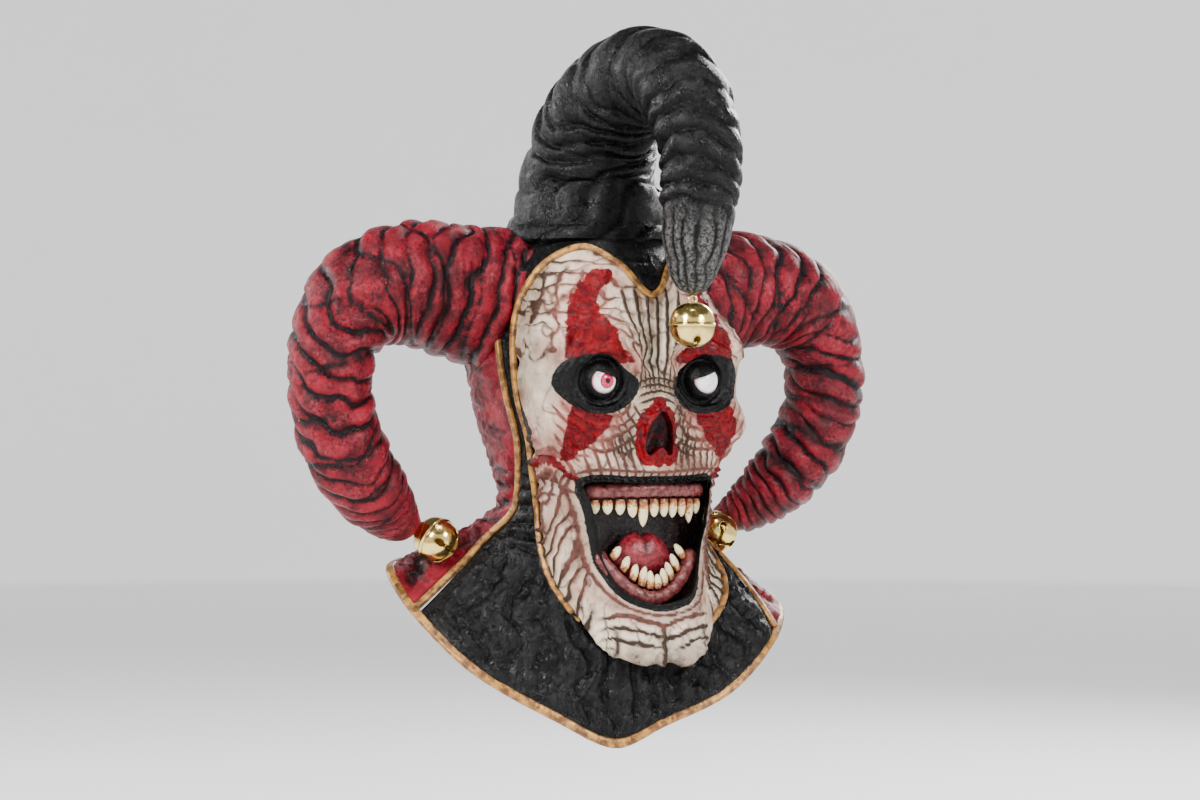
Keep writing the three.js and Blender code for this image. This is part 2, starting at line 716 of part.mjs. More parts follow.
function addBell(name, { centre, hang }) {
  const bell = add("bell_" + name, bellGeometry(), brass);
  bell.position.copy(centre);
  bell.quaternion.setFromUnitVectors(new THREE.Vector3(0, 0, 1), hang.clone().negate());
  const inside = add("bell_ball_" + name, new THREE.SphereGeometry(bellBallRadius, 8, 6), brass);
  inside.position.copy(centre).z -= bellRadius - bellWall - bellBallRadius - 4 * clearance;
}

// The horns, each cut to sit on the cowl
const cowlForms = cowlForm(true, clearance).add(cowlForm(false, clearance));
const cowlKeepOut = cowlForms.add(seamSlots).add(faceTrimSlot);

// Where a bell hangs: its centre, and the room that it takes out of the tip that carries it
function bellHang(tip, hang) {
  const centre = tip.clone().addScaledVector(hang, bellRadius + bellLoopHeight + clearance);
  const loopAt = centre.clone().addScaledVector(hang, -(bellRadius + bellLoopRise));
  const room = ball(bellRadius + 3 * clearance).translate(centre.toArray());
  const loopRoom = ball(bellLoopRing + bellLoopWire + 2 * clearance).translate(loopAt.toArray());
  return { centre, hang, room: room.add(loopRoom) };
}

function sideHornLine(side) {
  return sideHornRows.map(
    (r) => new THREE.Vector3(-side * sideHornReach * r.out, sideHornBack * r.back, -sideHornDrop * r.drop),
  );
}
const sideHornRadii = sideHornRows.map((r) => sideHornBase * r.thick);
for (const [name, side] of [["horn_right", 1], ["horn_left", -1]]) {
  const line = sideHornLine(side);
  const horn = hornSolid(line, sideHornRadii, hornFacets.side, new THREE.Vector3(0, side, 0), sideHornFolds);
  const hung = bellHang(line.at(-1), new THREE.Vector3(0.35 * side, -0.82, -0.45).normalize());
  add(name, geometryOf(mainBody(horn.subtract(cowlKeepOut).subtract(hung.room))), redLatex);
  addBell(side > 0 ? "right" : "left", hung);
}

const topHornLine = topHornRows.map(
  (r) => new THREE.Vector3(topHornAside * r.aside, -topHornForward * r.forward, topHornRise * r.rise),
);
const topHornTip = topHornTipRows.map(
  (r) => new THREE.Vector3(topHornAside, -topHornForward * r.forward, -topHornTipDrop * r.drop),
);
topHornLine[0].z = crownZ + clearance;
const topHornRadii = [...topHornRows, ...topHornTipRows].map((r) => topHornBase * r.thick);
const topHornPath = [...topHornLine, ...topHornTip];
const acrossHead = new THREE.Vector3(1, 0, 0);
const topHorn = hornSolid(topHornPath, topHornRadii, hornFacets.top, acrossHead, topHornFolds);
const topHung = bellHang(topHornPath.at(-1), new THREE.Vector3(0, 0, -1));
add("horn_top", geometryOf(mainBody(topHorn.subtract(cowlKeepOut).subtract(topHung.room))), blackLatex);
addBell("top", topHung);

// The mouth: a lining sunk behind the face, with gums, teeth and tongue held in it
const mouthFront = headFront + chinForward * 0.4;
const liningBack = mouthFront - mouthDepth - faceWall - faceRelief;
const liningLap = faceWall;
const faceKeepOut = faceHollow(faceWall + clearance);
const liningOuter = mouthPrism(liningLap, liningBack, mouthFront);
const liningInner = mouthPrism(liningLap - liningWall, liningBack + liningWall, mouthFront + faceWall);
const lining = mainBody(liningOuter.subtract(liningInner).intersect(faceKeepOut));
add("mouth_lining", geometryOf(lining), blackLatex);
const roomBack = liningBack + liningWall + clearance;
const mouthRoom = mouthPrism(liningLap - liningWall - clearance, roomBack, mouthFront);
const roomInFace = mouthPrism(-clearance, liningBack + 2 * liningLap, mouthFront);
const roomForGums = mouthRoom.intersect(faceKeepOut).add(roomInFace);

// Gum bars along an arc: x across, bowed forward in the middle, dipping by a drop at the middle
function gumPoint(jaw, s) {
  return new THREE.Vector3(
    s * jaw.halfWidth,
    -(mouthFront - jaw.inset) + jaw.bow * s * s,
    jaw.z - jaw.dip * (1 - s * s),
  );
}
const gumCount = 12;
function gumBar(jaw) {
  const sections = [];
  for (let k = 0; k <= gumCount; k++) {
    const s = (k / gumCount) * 2 - 1;
    const at = gumPoint(jaw, s);
    const out = new THREE.Vector3(0.6 * s, -1, 0).normalize().multiplyScalar(gumThickness / 2);
    const up = jaw.towards(s).multiplyScalar(gumHeight);
    sections.push(gumRows.map((r) => at.clone().addScaledVector(out, r.out).addScaledVector(up, r.up)));
  }
  return solidOf(loft(sections));
}
const upperJaw = {
  halfWidth: mouthHalfWidth - 4,
  inset: faceRelief,
  bow: 16,
  z: mouthTop - gumHeight * 0.85,
  dip: -1,
  toothShare: 1,
  towards: () => new THREE.Vector3(0, 0, -1),
};
const lowerJaw = {
  halfWidth: mouthHalfWidth * 0.68,
  inset: faceRelief,
  bow: 12,
  z: mouthTop - mouthHeight * 0.5,
  dip: mouthHeight * 0.36,
  toothShare: 0.88,
  towards: (s) => new THREE.Vector3(-0.75 * s, 0, 1 - 0.3 * Math.abs(s)).normalize(),
};
const toothSizes = {
  upper: [0.75, 0.8, 0.85, 1.0, 1.5, 1.0, 1.0, 1.05, 1.0, 1.35, 0.85],
  lower: [0.85, 0.9, 0.9, 1.1, 1.0, 0.8, 0.95, 1.0, 0.95, 0.9],
};
function tooth(jaw, s, scale) {
  const base = gumPoint(jaw, s);
  const up = jaw.towards(s);
  const across = gumPoint(jaw, s + 0.01).sub(gumPoint(jaw, s - 0.01)).normalize();
  const out = new THREE.Vector3().crossVectors(up, across).normalize();
  const length = toothLength * scale;
  const width = toothWidth * jaw.toothShare;
  const rings = [];
  for (const { along, wide } of toothRows) {
    const at = base.clone().addScaledVector(up, toothLift + along * length);
    const ring = [];
    for (let i = 0; i < 6; i++) {
      const a = (2 * Math.PI * i) / 6;
      const x = (Math.cos(a) * width * wide) / 2;
      const y = Math.sin(a) * width * wide * 0.34;
      ring.push(at.clone().addScaledVector(across, x).addScaledVector(out, y));
    }
    rings.push(ring);
  }
  return loft(rings);
}
const toothSpread = 0.94;
for (const [name, jaw] of [["upper", upperJaw], ["lower", lowerJaw]]) {
  const sizes = toothSizes[name];
  const gum = mainBody(gumBar(jaw).intersect(roomForGums));
  add("gum_" + name, geometryOf(gum), gumLatex);
  sizes.forEach((scale, i) => {
    const s = ((2 * (i + 0.5)) / sizes.length - 1) * toothSpread;
    add("tooth_" + name + "_" + String(i + 1).padStart(2, "0"), tooth(jaw, s, scale), toothEnamel);
  });
}
const tongueTilt = -0.5;
const tongueSunk = 9;
const tongueFloor = 0.58;
const tongueShape = new THREE.SphereGeometry(0.5, 12, 8).scale(tongueWidth, tongueThickness, tongueLength);
tongueShape.rotateX(tongueTilt).translate(0, -liningBack - tongueSunk, mouthTop - mouthHeight * tongueFloor);
const tongue = solidOf(tongueShape).intersect(mouthRoom);
const lowerGum = gumBar(lowerJaw);
add("tongue", geometryOf(mainBody(tongue.subtract(lowerGum))), tongueLatex);

export default root;
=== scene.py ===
"""Looks of a carnival mask of a grinning jester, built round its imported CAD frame.

Lengths in the tables and the shape code are millimetres, as in the CAD source. Pieces are written in metres.
"""

import logging
import math
from dataclasses import dataclass, field
from enum import Enum
from typing import Callable, Sequence

import bmesh
import bpy
import numpy as np
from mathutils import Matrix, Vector


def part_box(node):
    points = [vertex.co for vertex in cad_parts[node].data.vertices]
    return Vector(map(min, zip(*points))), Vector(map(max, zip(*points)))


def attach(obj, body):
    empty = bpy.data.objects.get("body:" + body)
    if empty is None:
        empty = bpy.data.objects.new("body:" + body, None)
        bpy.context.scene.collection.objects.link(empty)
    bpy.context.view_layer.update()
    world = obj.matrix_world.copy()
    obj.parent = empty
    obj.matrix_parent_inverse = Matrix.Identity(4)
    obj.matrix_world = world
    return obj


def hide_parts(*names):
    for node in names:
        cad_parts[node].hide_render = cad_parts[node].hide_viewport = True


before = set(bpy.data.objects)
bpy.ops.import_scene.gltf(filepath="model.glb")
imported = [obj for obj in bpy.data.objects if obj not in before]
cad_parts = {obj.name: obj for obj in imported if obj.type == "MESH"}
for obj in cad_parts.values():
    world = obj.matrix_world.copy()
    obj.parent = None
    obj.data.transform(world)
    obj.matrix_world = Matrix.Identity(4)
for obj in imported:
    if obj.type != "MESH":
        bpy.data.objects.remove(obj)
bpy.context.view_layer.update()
LOG = logging.getLogger("mask")
MM = 0.001
FAR = 1e9

Array = np.ndarray
Rows = Sequence[Sequence[float]]


class Side(Enum):
    """The wearer's side, by its sign along X."""

    RIGHT = -1
    LEFT = 1


# Sizes shared with the CAD source
HEAD_HALF = 90.0
HEAD_FRONT = 92.0
HEAD_BACK = 98.0
CROWN = 8.0
NECK = -208.0
BIB_DROP = 376.0
COLLAR_REACH = 149.0
COLLAR_TWIST = 18.0
NECK_SHARE = 0.55
COLLAR_FLARE = 1.3
COLLAR_FALL = 0.92
COWL_WALL = 3.0
FACE_TOP = -20.0
FACE_HEIGHT = 292.0
FACE_RELIEF = 10.0
CHIN_FORWARD = 27.0
CHIN_OVERHANG = 30.0
CHIN_UNDERSIDE = (0.84, 0.97)
JAW_START, JAW_FULL = 0.45, 0.76
JAW_END = (0.925, 0.995)
CHEEK_WIDE, CHIN_WIDE = 1.1, 0.62
SIDE_TURN = 67.0
SIDE_FADE = 0.16
EYE_RADIUS = 13.0
BEAD_WIDTH = 5.2
BEAD_HEIGHT = 3.0
EYE_ACROSS = 43.0
EYE_Z = -117.0
EYE_HOLE = 9.4
EYE_Y = -87.0
LID_RADIUS = 14.4
BELL_RADIUS = 17.0
BELL_WALL = 1.2
BELL_REACH = 21.3
SIDE_HORN_REACH = 214.0
SIDE_HORN_DROP = 232.0
SIDE_HORN_BASE = 50.0
SIDE_HORN_BACK = 20.0
TOP_HORN_RISE = 105.0
TOP_HORN_FORWARD = 136.0
TOP_HORN_BASE = 56.5
TOP_HORN_ASIDE = 12.0
TOP_HORN_TIP_DROP = 56.0
TURN_MM = 1.55
TRIM_HALF = 2.2
MOUTH_FRONT = 102.8
TOOTH_LENGTH = 13.6
TOOTH_WIDTH = 6.8
TOOTH_LIFT = 0.9
ROW_SHARE = 0.94
BRAID_LOW = 2.6
HEM_WIDTH, HEM_HEIGHT, HEM_LOW, HEM_DROP = 7.0, 2.9, 2.4, 2.0
GUM_DROP = 5.4
HORN_FILL = 0.75
EYE_SHARE, EYE_BULGE = 0.985, 0.02
SEAM_START, SEAM_END = 0.105, 0.998
SEAM_GAP = 1.6
CROWN_SINK = 4.5
CROWN_EDGE = (0.05, 0.12)

# Borders of the face's holes, in mm, and the steps that draw them inwards, in m
MOUTH_REACH, MOUTH_SPAN, MOUTH_SLACK = 62.0, (-290.0, -184.0), 2.5
MOUTH_BACK = -0.06
NOSE_REACH, NOSE_SPAN = 16.0, (-178.0, -134.0)
EYE_SLACK = 2.0
EDGE_STEP, LIP_STEP, NOSTRIL_STEP, LID_STEP = 0.002, 0.0016, 0.0026, 0.0008

# down, wide, front, back
HEAD_SECTIONS = np.array([
    (0.0, 0.63, 0.63, 0.59), (0.08, 0.7, 0.74, 0.68), (0.22, 0.89, 0.93, 0.85), (0.4, 1.0, 1.0, 0.98),
    (0.62, 1.0, 1.0, 1.0), (0.79, 0.87, 0.92, 0.87), (0.93, 0.78, 0.82, 0.72), (1.0, 0.77, 0.8, 0.7),
])
# turn, out, drop
HEM_SECTIONS = np.array([
    (-180, 0.72, 0.72), (-140, 0.8, 0.7), (-98, 0.96, 0.74), (-72, 0.93, 0.8), (-48, 0.8, 0.9),
    (-22, 0.66, 0.96), (0, 0.62, 1.0), (24, 0.68, 0.95), (52, 0.84, 0.86), (74, 0.96, 0.75),
    (92, 1.0, 0.675), (140, 0.82, 0.68), (180, 0.72, 0.72),
])
# down, right, left
SEAM_ROWS = np.array([
    (0.0, 95, 95), (0.2, 80, 80), (0.4, 72, 72), (0.55, 82, 80), (0.66, 92, 84), (0.8, 93, 68), (1.0, 92, 54),
])
# turn, down
FACE_EDGE = np.array([
    (0, 0.12), (16, 0.045), (36, 0.0), (57, 0.045), (67, 0.15), (67, 0.3), (65, 0.45), (66, 0.6), (58, 0.76),
    (44, 0.88), (24, 0.965), (0, 1.0),
])
# across, down, wide, tall, rise
BROAD_ROWS = (
    (0.6, 0.34, 0.38, 0.17, 2.2), (0.84, 0.25, 0.22, 0.085, 1.9), (0.86, 0.465, 0.24, 0.08, 3.3),
    (0.5, 0.62, 0.34, 0.13, 1.9), (0.0, 0.6, 0.4, 0.12, 0.9),
)
RELIEF_ROWS = (
    (0.44, 0.335, 0.27, 0.085, -1.2), (0.36, 0.225, 0.2, 0.055, 0.9), (0.13, 0.29, 0.08, 0.05, 0.7),
    (0.0, 0.45, 0.17, 0.09, 1.7), (0.72, 0.66, 0.14, 0.09, -0.5), (0.17, 0.955, 0.13, 0.05, 0.5),
)


def smoothstep(x: Array, low: float, high: float) -> Array:
    """0 below low, 1 above high and smooth between."""
    t = np.clip((x - low) / (high - low), 0.0, 1.0)
    return t * t * (3.0 - 2.0 * t)


def band(x: Array, low: float, high: float, soft: float) -> Array:
    """1 between low and high, fading over a soft width outside them."""
    return smoothstep(x, low - soft, low) * (1.0 - smoothstep(x, high, high + soft))


def look_up(rows: Array, at: Array, column: int) -> Array:
    """Value of one column of a table between its rows, on a smooth curve through them.

    Args:
        rows: The table, with its key in the first column.
        at: Keys to look up.
        column: Index of the wanted column.

    Returns:
        One value for each key.
    """
    keys, values = rows[:, 0], rows[:, column]
    i = np.searchsorted(keys[1:-1], at, side="left")
    j = i + 1
    before, after = np.maximum(i - 1, 0), np.minimum(i + 2, len(keys) - 1)
    span = keys[j] - keys[i]
    t = np.clip((at - keys[i]) / span, 0.0, 1.0)
    slope_a = (values[j] - values[before]) / (keys[j] - keys[before]) * span
    slope_b = (values[after] - values[i]) / (keys[after] - keys[i]) * span
    t2, t3 = t * t, t * t * t
    return ((2 * t3 - 3 * t2 + 1) * values[i] + (t3 - 2 * t2 + t) * slope_a
            + (3 * t2 - 2 * t3) * values[j] + (t3 - t2) * slope_b)


class Noise:
    """Smooth seeded noise in space, from -1 to 1."""

    SIZE = 32
    SHIFT = 0.37
    OCTAVE_SHIFT = 91.7

    def __init__(self, seed: int) -> None:
        """Draws the table of random values."""
        self.table = np.random.RandomState(seed).uniform(-1.0, 1.0, (self.SIZE,) * 3)

    def at(self, points: Array, size: float) -> Array:
        """One octave with lumps of about that size in mm.

        Args:
            points: Places, one row each.
            size: Size of a lump in mm.

        Returns:
            One value for each place.
        """
        q = points / size + self.SHIFT
        base = np.floor(q).astype(int)
        f = q - base
        f = f * f * (3.0 - 2.0 * f)
        total = 0.0
        for corner in range(8):
            step = np.array([corner & 1, (corner >> 1) & 1, corner >> 2])
            w = np.prod(np.where(step, f, 1.0 - f), axis=-1)
            cell = (base + step) % self.SIZE
            total = total + w * self.table[cell[..., 0], cell[..., 1], cell[..., 2]]
        return total

    def rough(self, points: Array, size: float, octaves: int = 3) -> Array:
        """Several octaves, each half the size and half as strong."""
        return sum(self.at(points + self.OCTAVE_SHIFT * k, size / 2**k) / 2**k for k in range(octaves))


def cowl_base(turn: Array, down: Array) -> Array:
    """Points of the cowl's outer surface.

    Args:
        turn: Degrees from the front, positive towards the wearer's right.
        down: Share of the way from the crown to the hem.

    Returns:
        Points in mm, one row each.
    """
    turn, down = np.broadcast_arrays(np.asarray(turn, float), np.asarray(down, float))
    head = np.clip(down / NECK_SHARE, None, 1.0)
    angle = np.radians(turn)
    wide = HEAD_HALF * look_up(HEAD_SECTIONS, head, 1)
    ahead = HEAD_FRONT * look_up(HEAD_SECTIONS, head, 2)
    behind = HEAD_BACK * look_up(HEAD_SECTIONS, head, 3)
    deep = np.where(np.cos(angle) > 0, ahead, behind)
    z = CROWN - (CROWN - NECK) * head + np.maximum(0.0, -down) * 100.0
    neck = np.stack([-wide * np.sin(angle), -deep * np.cos(angle), z], -1)
    t = np.clip((down - NECK_SHARE) / (1 - NECK_SHARE), 0.0, None)
    hem_turn = (turn - COLLAR_TWIST + 180.0) % 360.0 - 180.0
    reach = COLLAR_REACH * look_up(HEM_SECTIONS, hem_turn, 1)
    hem_z = -BIB_DROP * look_up(HEM_SECTIONS, hem_turn, 2)
    hem = np.stack([-reach * np.sin(angle), -reach * np.cos(angle), hem_z], -1)
    out, fall = t**COLLAR_FLARE, t**COLLAR_FALL
    mix = np.stack([out, out, fall], -1)
    return neck + (hem - neck) * mix


def unit(v: Array) -> Array:
    """Vectors scaled to length 1."""
    return v / np.maximum(np.linalg.norm(v, axis=-1, keepdims=True), 1e-9)


def cowl_normal(turn: Array, down: Array) -> Array:
    """Outward normals of the cowl's surface.

    Args:
        turn: Degrees from the front.
        down: Share of the way from the crown to the hem.

    Returns:
        One unit vector for each place.
    """
    down = np.minimum(down, 1.0)
    across = cowl_base(turn + 1.0, down) - cowl_base(turn - 1.0, down)
    along = cowl_base(turn, np.minimum(down + 0.01, 1.0)) - cowl_base(turn, down - 0.01)
    return unit(np.cross(across, along))


def down_at(turn: Array, z: Array) -> Array:
    """How far down the cowl a height lies, found by halving.

    Args:
        turn: Degrees from the front.
        z: Heights in mm.

    Returns:
        Shares of the way from the crown to the hem.
    """
    turn, z = np.broadcast_arrays(np.asarray(turn, float), np.asarray(z, float))
    low, high = np.zeros_like(z), np.ones_like(z)
    for _ in range(18):
        middle = (low + high) / 2
        above = cowl_base(turn, middle)[..., 2] > z
        low, high = np.where(above, middle, low), np.where(above, high, middle)
    return (low + high) / 2


def seam_turn(side: Side, down: Array) -> Array:
    """Turn of the seam between the cowl's front and back."""
    column = 1 if side is Side.RIGHT else 2
    return -side.value * look_up(SEAM_ROWS, np.asarray(down, float), column)


def form_at(rows: Rows, x: Array, z: Array) -> Array:
    """Height of the forms of a table at a place of the face seen from the front.

    Args:
        rows: The forms, one row each.
        x: Places across in mm.
        z: Heights in mm.

    Returns:
        How far the surface rises, in mm.
    """
    across, down = np.abs(x) / HEAD_HALF, (FACE_TOP - z) / FACE_HEIGHT
    return sum(rise * FACE_RELIEF * np.exp(-(((across - a) / wide) ** 2) - ((down - d) / tall) ** 2)
               for a, d, wide, tall, rise in rows)


def jaw_at(x: Array, z: Array) -> Array:
    """How far the jaw stands forward of the neck.

    Args:
        x: Places across in mm.
        z: Heights in mm.

    Returns:
        Distances in mm.
    """
    across, down = np.abs(x) / HEAD_HALF, (FACE_TOP - z) / FACE_HEIGHT
    jaw = smoothstep(down, JAW_START, JAW_FULL)
    wide = CHEEK_WIDE + (CHIN_WIDE - CHEEK_WIDE) * jaw
    share = np.exp(-((across / wide) ** 4) * 2.2)
    return CHIN_FORWARD * jaw * share * (1.0 - smoothstep(down, *JAW_END))


def face_base(turn: Array, z: Array) -> Array:
    """Points of the face's surface without its fine folds.

    Args:
        turn: Degrees from the middle, positive towards the wearer's right.
        z: Height on the cowl's surface in mm.

    Returns:
        Points in mm.
    """
    down = down_at(turn, z)
    on = cowl_base(turn, down)
    fade = smoothstep(1.0 - np.abs(turn) / SIDE_TURN, 0.0, SIDE_FADE)
    relief = form_at(RELIEF_ROWS, on[..., 0], z)
    broad = jaw_at(on[..., 0], z) + form_at(BROAD_ROWS, on[..., 0], z)
    rise = fade * (broad + relief)
    below = smoothstep((FACE_TOP - z) / FACE_HEIGHT, *CHIN_UNDERSIDE)
    push = unit(np.stack([on[..., 0] * 0.25, on[..., 1], np.zeros_like(rise)], -1))
    moved = on + push * rise[..., None]
    moved[..., 2] -= below * CHIN_OVERHANG * rise / CHIN_FORWARD
    return moved


def signed_distance(outline: Array, x: Array, z: Array) -> Array:
    """Distance to a closed outline, negative inside it.

    Args:
        outline: Corner points, one row each.
        x: First coordinates of the places.
        z: Second coordinates of the places.

    Returns:
        One distance for each place.
    """
    best = np.full(np.shape(x), FAR)
    inside = np.zeros(np.shape(x), bool)
    for (ax, az), (bx, bz) in zip(outline, np.roll(outline, -1, axis=0)):
        ex, ez = bx - ax, bz - az
        t = np.clip(((x - ax) * ex + (z - az) * ez) / (ex * ex + ez * ez + 1e-12), 0.0, 1.0)
        best = np.minimum(best, (x - ax - t * ex) ** 2 + (z - az - t * ez) ** 2)
        step = ez if abs(ez) > 1e-9 else 1e-9
        inside ^= ((az > z) != (bz > z)) & (x < ex * (z - az) / step + ax)
    return np.where(inside, -1.0, 1.0) * np.sqrt(best)


def distance_to_line(points: Array, x: Array, z: Array) -> Array:
    """Distance to an open line.

    Args:
        points: Points of the line, one row each.
        x: First coordinates of the places.
        z: Second coordinates of the places.

    Returns:
        One distance for each place.
    """
    best = np.full(np.shape(x), FAR)
    for (ax, az), (bx, bz) in zip(points[:-1], points[1:]):
        ex, ez = bx - ax, bz - az
        t = np.clip(((x - ax) * ex + (z - az) * ez) / (ex * ex + ez * ez), 0.0, 1.0)
        best = np.minimum(best, (x - ax - t * ex) ** 2 + (z - az - t * ez) ** 2)
    return np.sqrt(best)


def smooth_loop(points: Rows, count: int) -> Array:
    """A closed line through corner points, rounded and evenly numbered.

    Args:
        points: The corner points.
        count: How many points the line gets.

    Returns:
        The line's points, one row each.
    """
    p = np.array(points, float)
    n = len(p)
    t = np.arange(count) * n / count
    i = t.astype(int)
    f = (t - i)[:, None]
    a, b, c, d = (p[(i + k) % n] for k in (-1, 0, 1, 2))
    return b + 0.5 * f * (c - a + f * (2 * a - 5 * b + 4 * c - d + f * (3 * (b - c) + d - a)))


def folds(phase: Array, round_: float = 0.6) -> Array:
    """Rounded folds from 0 to 1 with a sharp valley at each whole phase."""
    return np.abs(np.sin(np.pi * phase)) ** round_


@dataclass
class Relief:
    """Heights over a surface in mm, with the paint that lies on it, including painted shade and highlight
    masks, gathered fold by fold.
    """

    height: Array
    paint: dict[str, Array] = field(default_factory=dict)
    forward: Array | float = 0.0

    def fold(self, phase: Array, tall: float, where: Array, round_: float = 0.6, dark: float = 1.0) -> None:
        """Adds rounded folds, paints shade into their valleys and marks their crests for a painted highlight.

        Args:
            phase: Where the folds lie, with a valley at each whole number.
            tall: Height of a fold in mm.
            where: How strong the folds are at each place, from 0 to 1.
            round_: Roundness, less for rounder folds.
            dark: How dark the painted shade in the valleys is.
        """
        f = folds(phase, round_)
        self.height = self.height + tall * where * (f - 0.6)
        self.cover("cavity", dark * where * smoothstep(1.0 - f, 0.2, 0.85))
        self.cover("ridge", where * smoothstep(f, 0.8, 1.0))

    def groove(self, distance: Array, wide: float, deep: float, where: Array | float = 1.0,
               dark: float = 1.0) -> None:
        """Cuts a soft groove along a line at distance 0, with painted shade in it.

        Args:
            distance: Distance of each place to the line, in mm.
            wide: Half width in mm.
            deep: Depth in mm.
            where: How strong it is at each place.
            dark: How dark the painted shade in it is.
        """
        g = np.exp(-((distance / wide) ** 2)) * where
        self.height = self.height - deep * g
        self.cover("cavity", dark * g)

    def mound(self, shape: Array, tall: float) -> None:
        """Adds a mound or a hollow."""
        self.height = self.height + tall * shape

    def cover(self, name: str, amount: Array) -> None:
        """Lays paint on where it is stronger than what is there."""
        old = self.paint.get(name, np.zeros(np.shape(self.height)))
        self.paint[name] = np.clip(np.maximum(old, amount), 0.0, 1.0)


@dataclass
class Patch:
    """A grid laid over a surface of two parameters, cut to an outline and lifted by its relief."""

    columns: int
    rows: int
    across: tuple[float, float]
    along: tuple[float, float]
    base: Callable[[Array, Array], Array]
    relief: Callable[[Array, Array, Array], Relief]
    keep: Callable[[Array, Array], Array] | None = None
    steps: tuple[float, float] = (0.3, 0.3)

    SNAP_ROUNDS = 4
    SNAP_STEP = 0.05
    LEAST_SLOPE = 0.05

    def normal(self, a: Array, b: Array) -> Array:
        """Normals of the surface before its relief.

        Args:
            a: First parameters.
            b: Second parameters.

        Returns:
            One unit vector for each place.
        """
        da, db = self.steps
        across = self.base(a + da, b) - self.base(a - da, b)
        return unit(np.cross(across, self.base(a, b + db) - self.base(a, b - db)))

    def snap(self, a: Array, b: Array, f: Array) -> tuple[Array, Array]:
        """Moves places outside the outline onto it.

        Args:
            a: First parameters.
            b: Second parameters.
            f: Distance to the outline, negative outside it.

        Returns:
            The moved parameters.
        """
        a, b = a.copy(), b.copy()
        out = f < 0
        for _ in range(self.SNAP_ROUNDS):
            if not out.any():
                break
            pa, pb = a[out], b[out]
            value = self.keep(pa, pb)
            step = self.SNAP_STEP
            ga = (self.keep(pa + step, pb) - self.keep(pa - step, pb)) / (2 * step)
            gb = (self.keep(pa, pb + step) - self.keep(pa, pb - step)) / (2 * step)
            size = np.maximum(ga * ga + gb * gb, self.LEAST_SLOPE)
            a[out], b[out] = pa - value * ga / size, pb - value * gb / size
        return a, b

    def mesh(self) -> bmesh.types.BMesh:
        """The patch as a bmesh in metres, with its paint in float layers.

        Returns:
            The mesh.
        """
        bm = bmesh.new()
        bmesh.ops.create_grid(bm, x_segments=self.columns, y_segments=self.rows, size=0.5)
        flat = np.array([v.co[:2] for v in bm.verts]) + 0.5
        a = self.across[0] + (self.across[1] - self.across[0]) * flat[:, 0]
        b = self.along[0] + (self.along[1] - self.along[0]) * flat[:, 1]
        doomed = []
        if self.keep is not None:
            f = self.keep(a, b)
            bm.verts.index_update()
            doomed = [face for face in bm.faces if all(f[v.index] < 0 for v in face.verts)]
            dead = set(doomed)
            near = np.zeros(len(a), bool)
            near[[v.index for face in bm.faces if face not in dead for v in face.verts]] = True
            a, b = self.snap(a, b, np.where(near, f, 1.0))
        points = self.base(a, b)
        relief = self.relief(a, b, points)
        normal = self.normal(a, b)
        points = points + normal * relief.height[:, None]
        points[:, 1] -= relief.forward
        set_points(bm, points, relief.paint)
        if doomed:
            bmesh.ops.delete(bm, geom=doomed, context="FACES")
        return bm


def set_points(bm: bmesh.types.BMesh, points: Array, paint: dict[str, Array]) -> None:
    """Writes places in mm and paint amounts to the vertices of a bmesh.

    Args:
        bm: The mesh.
        points: One place in mm for each vertex.
        paint: Amounts by the paint's name.
    """
    floats = bm.verts.layers.float
    layers = [(floats.get(name) or floats.new(name), values) for name, values in paint.items()]
    bm.verts.ensure_lookup_table()
    for i, v in enumerate(bm.verts):
        v.co = points[i] * MM
        for layer, values in layers:
            v[layer] = values[i]


def face_outwards(bm: bmesh.types.BMesh, centre: Sequence[float] | None = None) -> None:
    """Turns an open patch so that it faces away from a centre in mm, or from the part's axis.

    Args:
        bm: The mesh.
        centre: The centre in mm, or None for the axis.
    """
    bm.normal_update()
    total = 0.0
    for f in list(bm.faces)[::7]:
        c = f.calc_center_median()
        away = c - Vector(centre) * MM if centre is not None else Vector((c.x, c.y, 0))
        total += f.normal.dot(away.normalized()) * f.calc_area()
    if total < 0:
        bmesh.ops.reverse_faces(bm, faces=bm.faces[:])


def weld(bm: bmesh.types.BMesh, gap: float = 2e-6) -> None:
    """Closes seams and poles where vertices meet.

    Args:
        bm: The mesh.
        gap: How near two vertices are, in metres, to be one.
    """
    bmesh.ops.remove_doubles(bm, verts=bm.verts[:], dist=gap)
    bmesh.ops.dissolve_degenerate(bm, dist=gap / 4, edges=bm.edges[:])
    bmesh.ops.recalc_face_normals(bm, faces=bm.faces[:])


def rim(bm: bmesh.types.BMesh, chosen: Callable[[Vector], bool], moves: Sequence[Vector],
        close: bool = False, paint: Sequence[tuple[str, float]] = ()) -> None:
    """Draws the border of a hole inwards, step by step.

    Args:
        bm: The mesh.
        chosen: Says whether a border vertex belongs to the hole.
        moves: Offset in metres for each step.
        close: Whether to close the hole behind the last step.
        paint: Paint for the drawn part, by name and amount.
    """
    layers = [(bm.verts.layers.float[name], amount) for name, amount in paint]
    edges = [e for e in bm.edges if e.is_boundary and all(chosen(v.co) for v in e.verts)]
    for move in moves:
        made = bmesh.ops.extrude_edge_only(bm, edges=edges)["geom"]
        edges = [g for g in made if isinstance(g, bmesh.types.BMEdge)]
        verts = [g for g in made if isinstance(g, bmesh.types.BMVert)]
        for v in verts:
            v.co += move
            for layer, amount in layers:
                v[layer] = amount
    if close:
        bmesh.ops.holes_fill(bm, edges=edges, sides=0)


def thicken(obj: bpy.types.Object, wall: float) -> None:
    """Gives a sheet its wall, in mm, on its inner side.

    Args:
        obj: The sheet.
        wall: Its wall in mm.
    """
    modifier = obj.modifiers.new("wall", "SOLIDIFY")
    modifier.thickness = wall * MM
    modifier.offset = -1.0
    modifier.use_even_offset = False


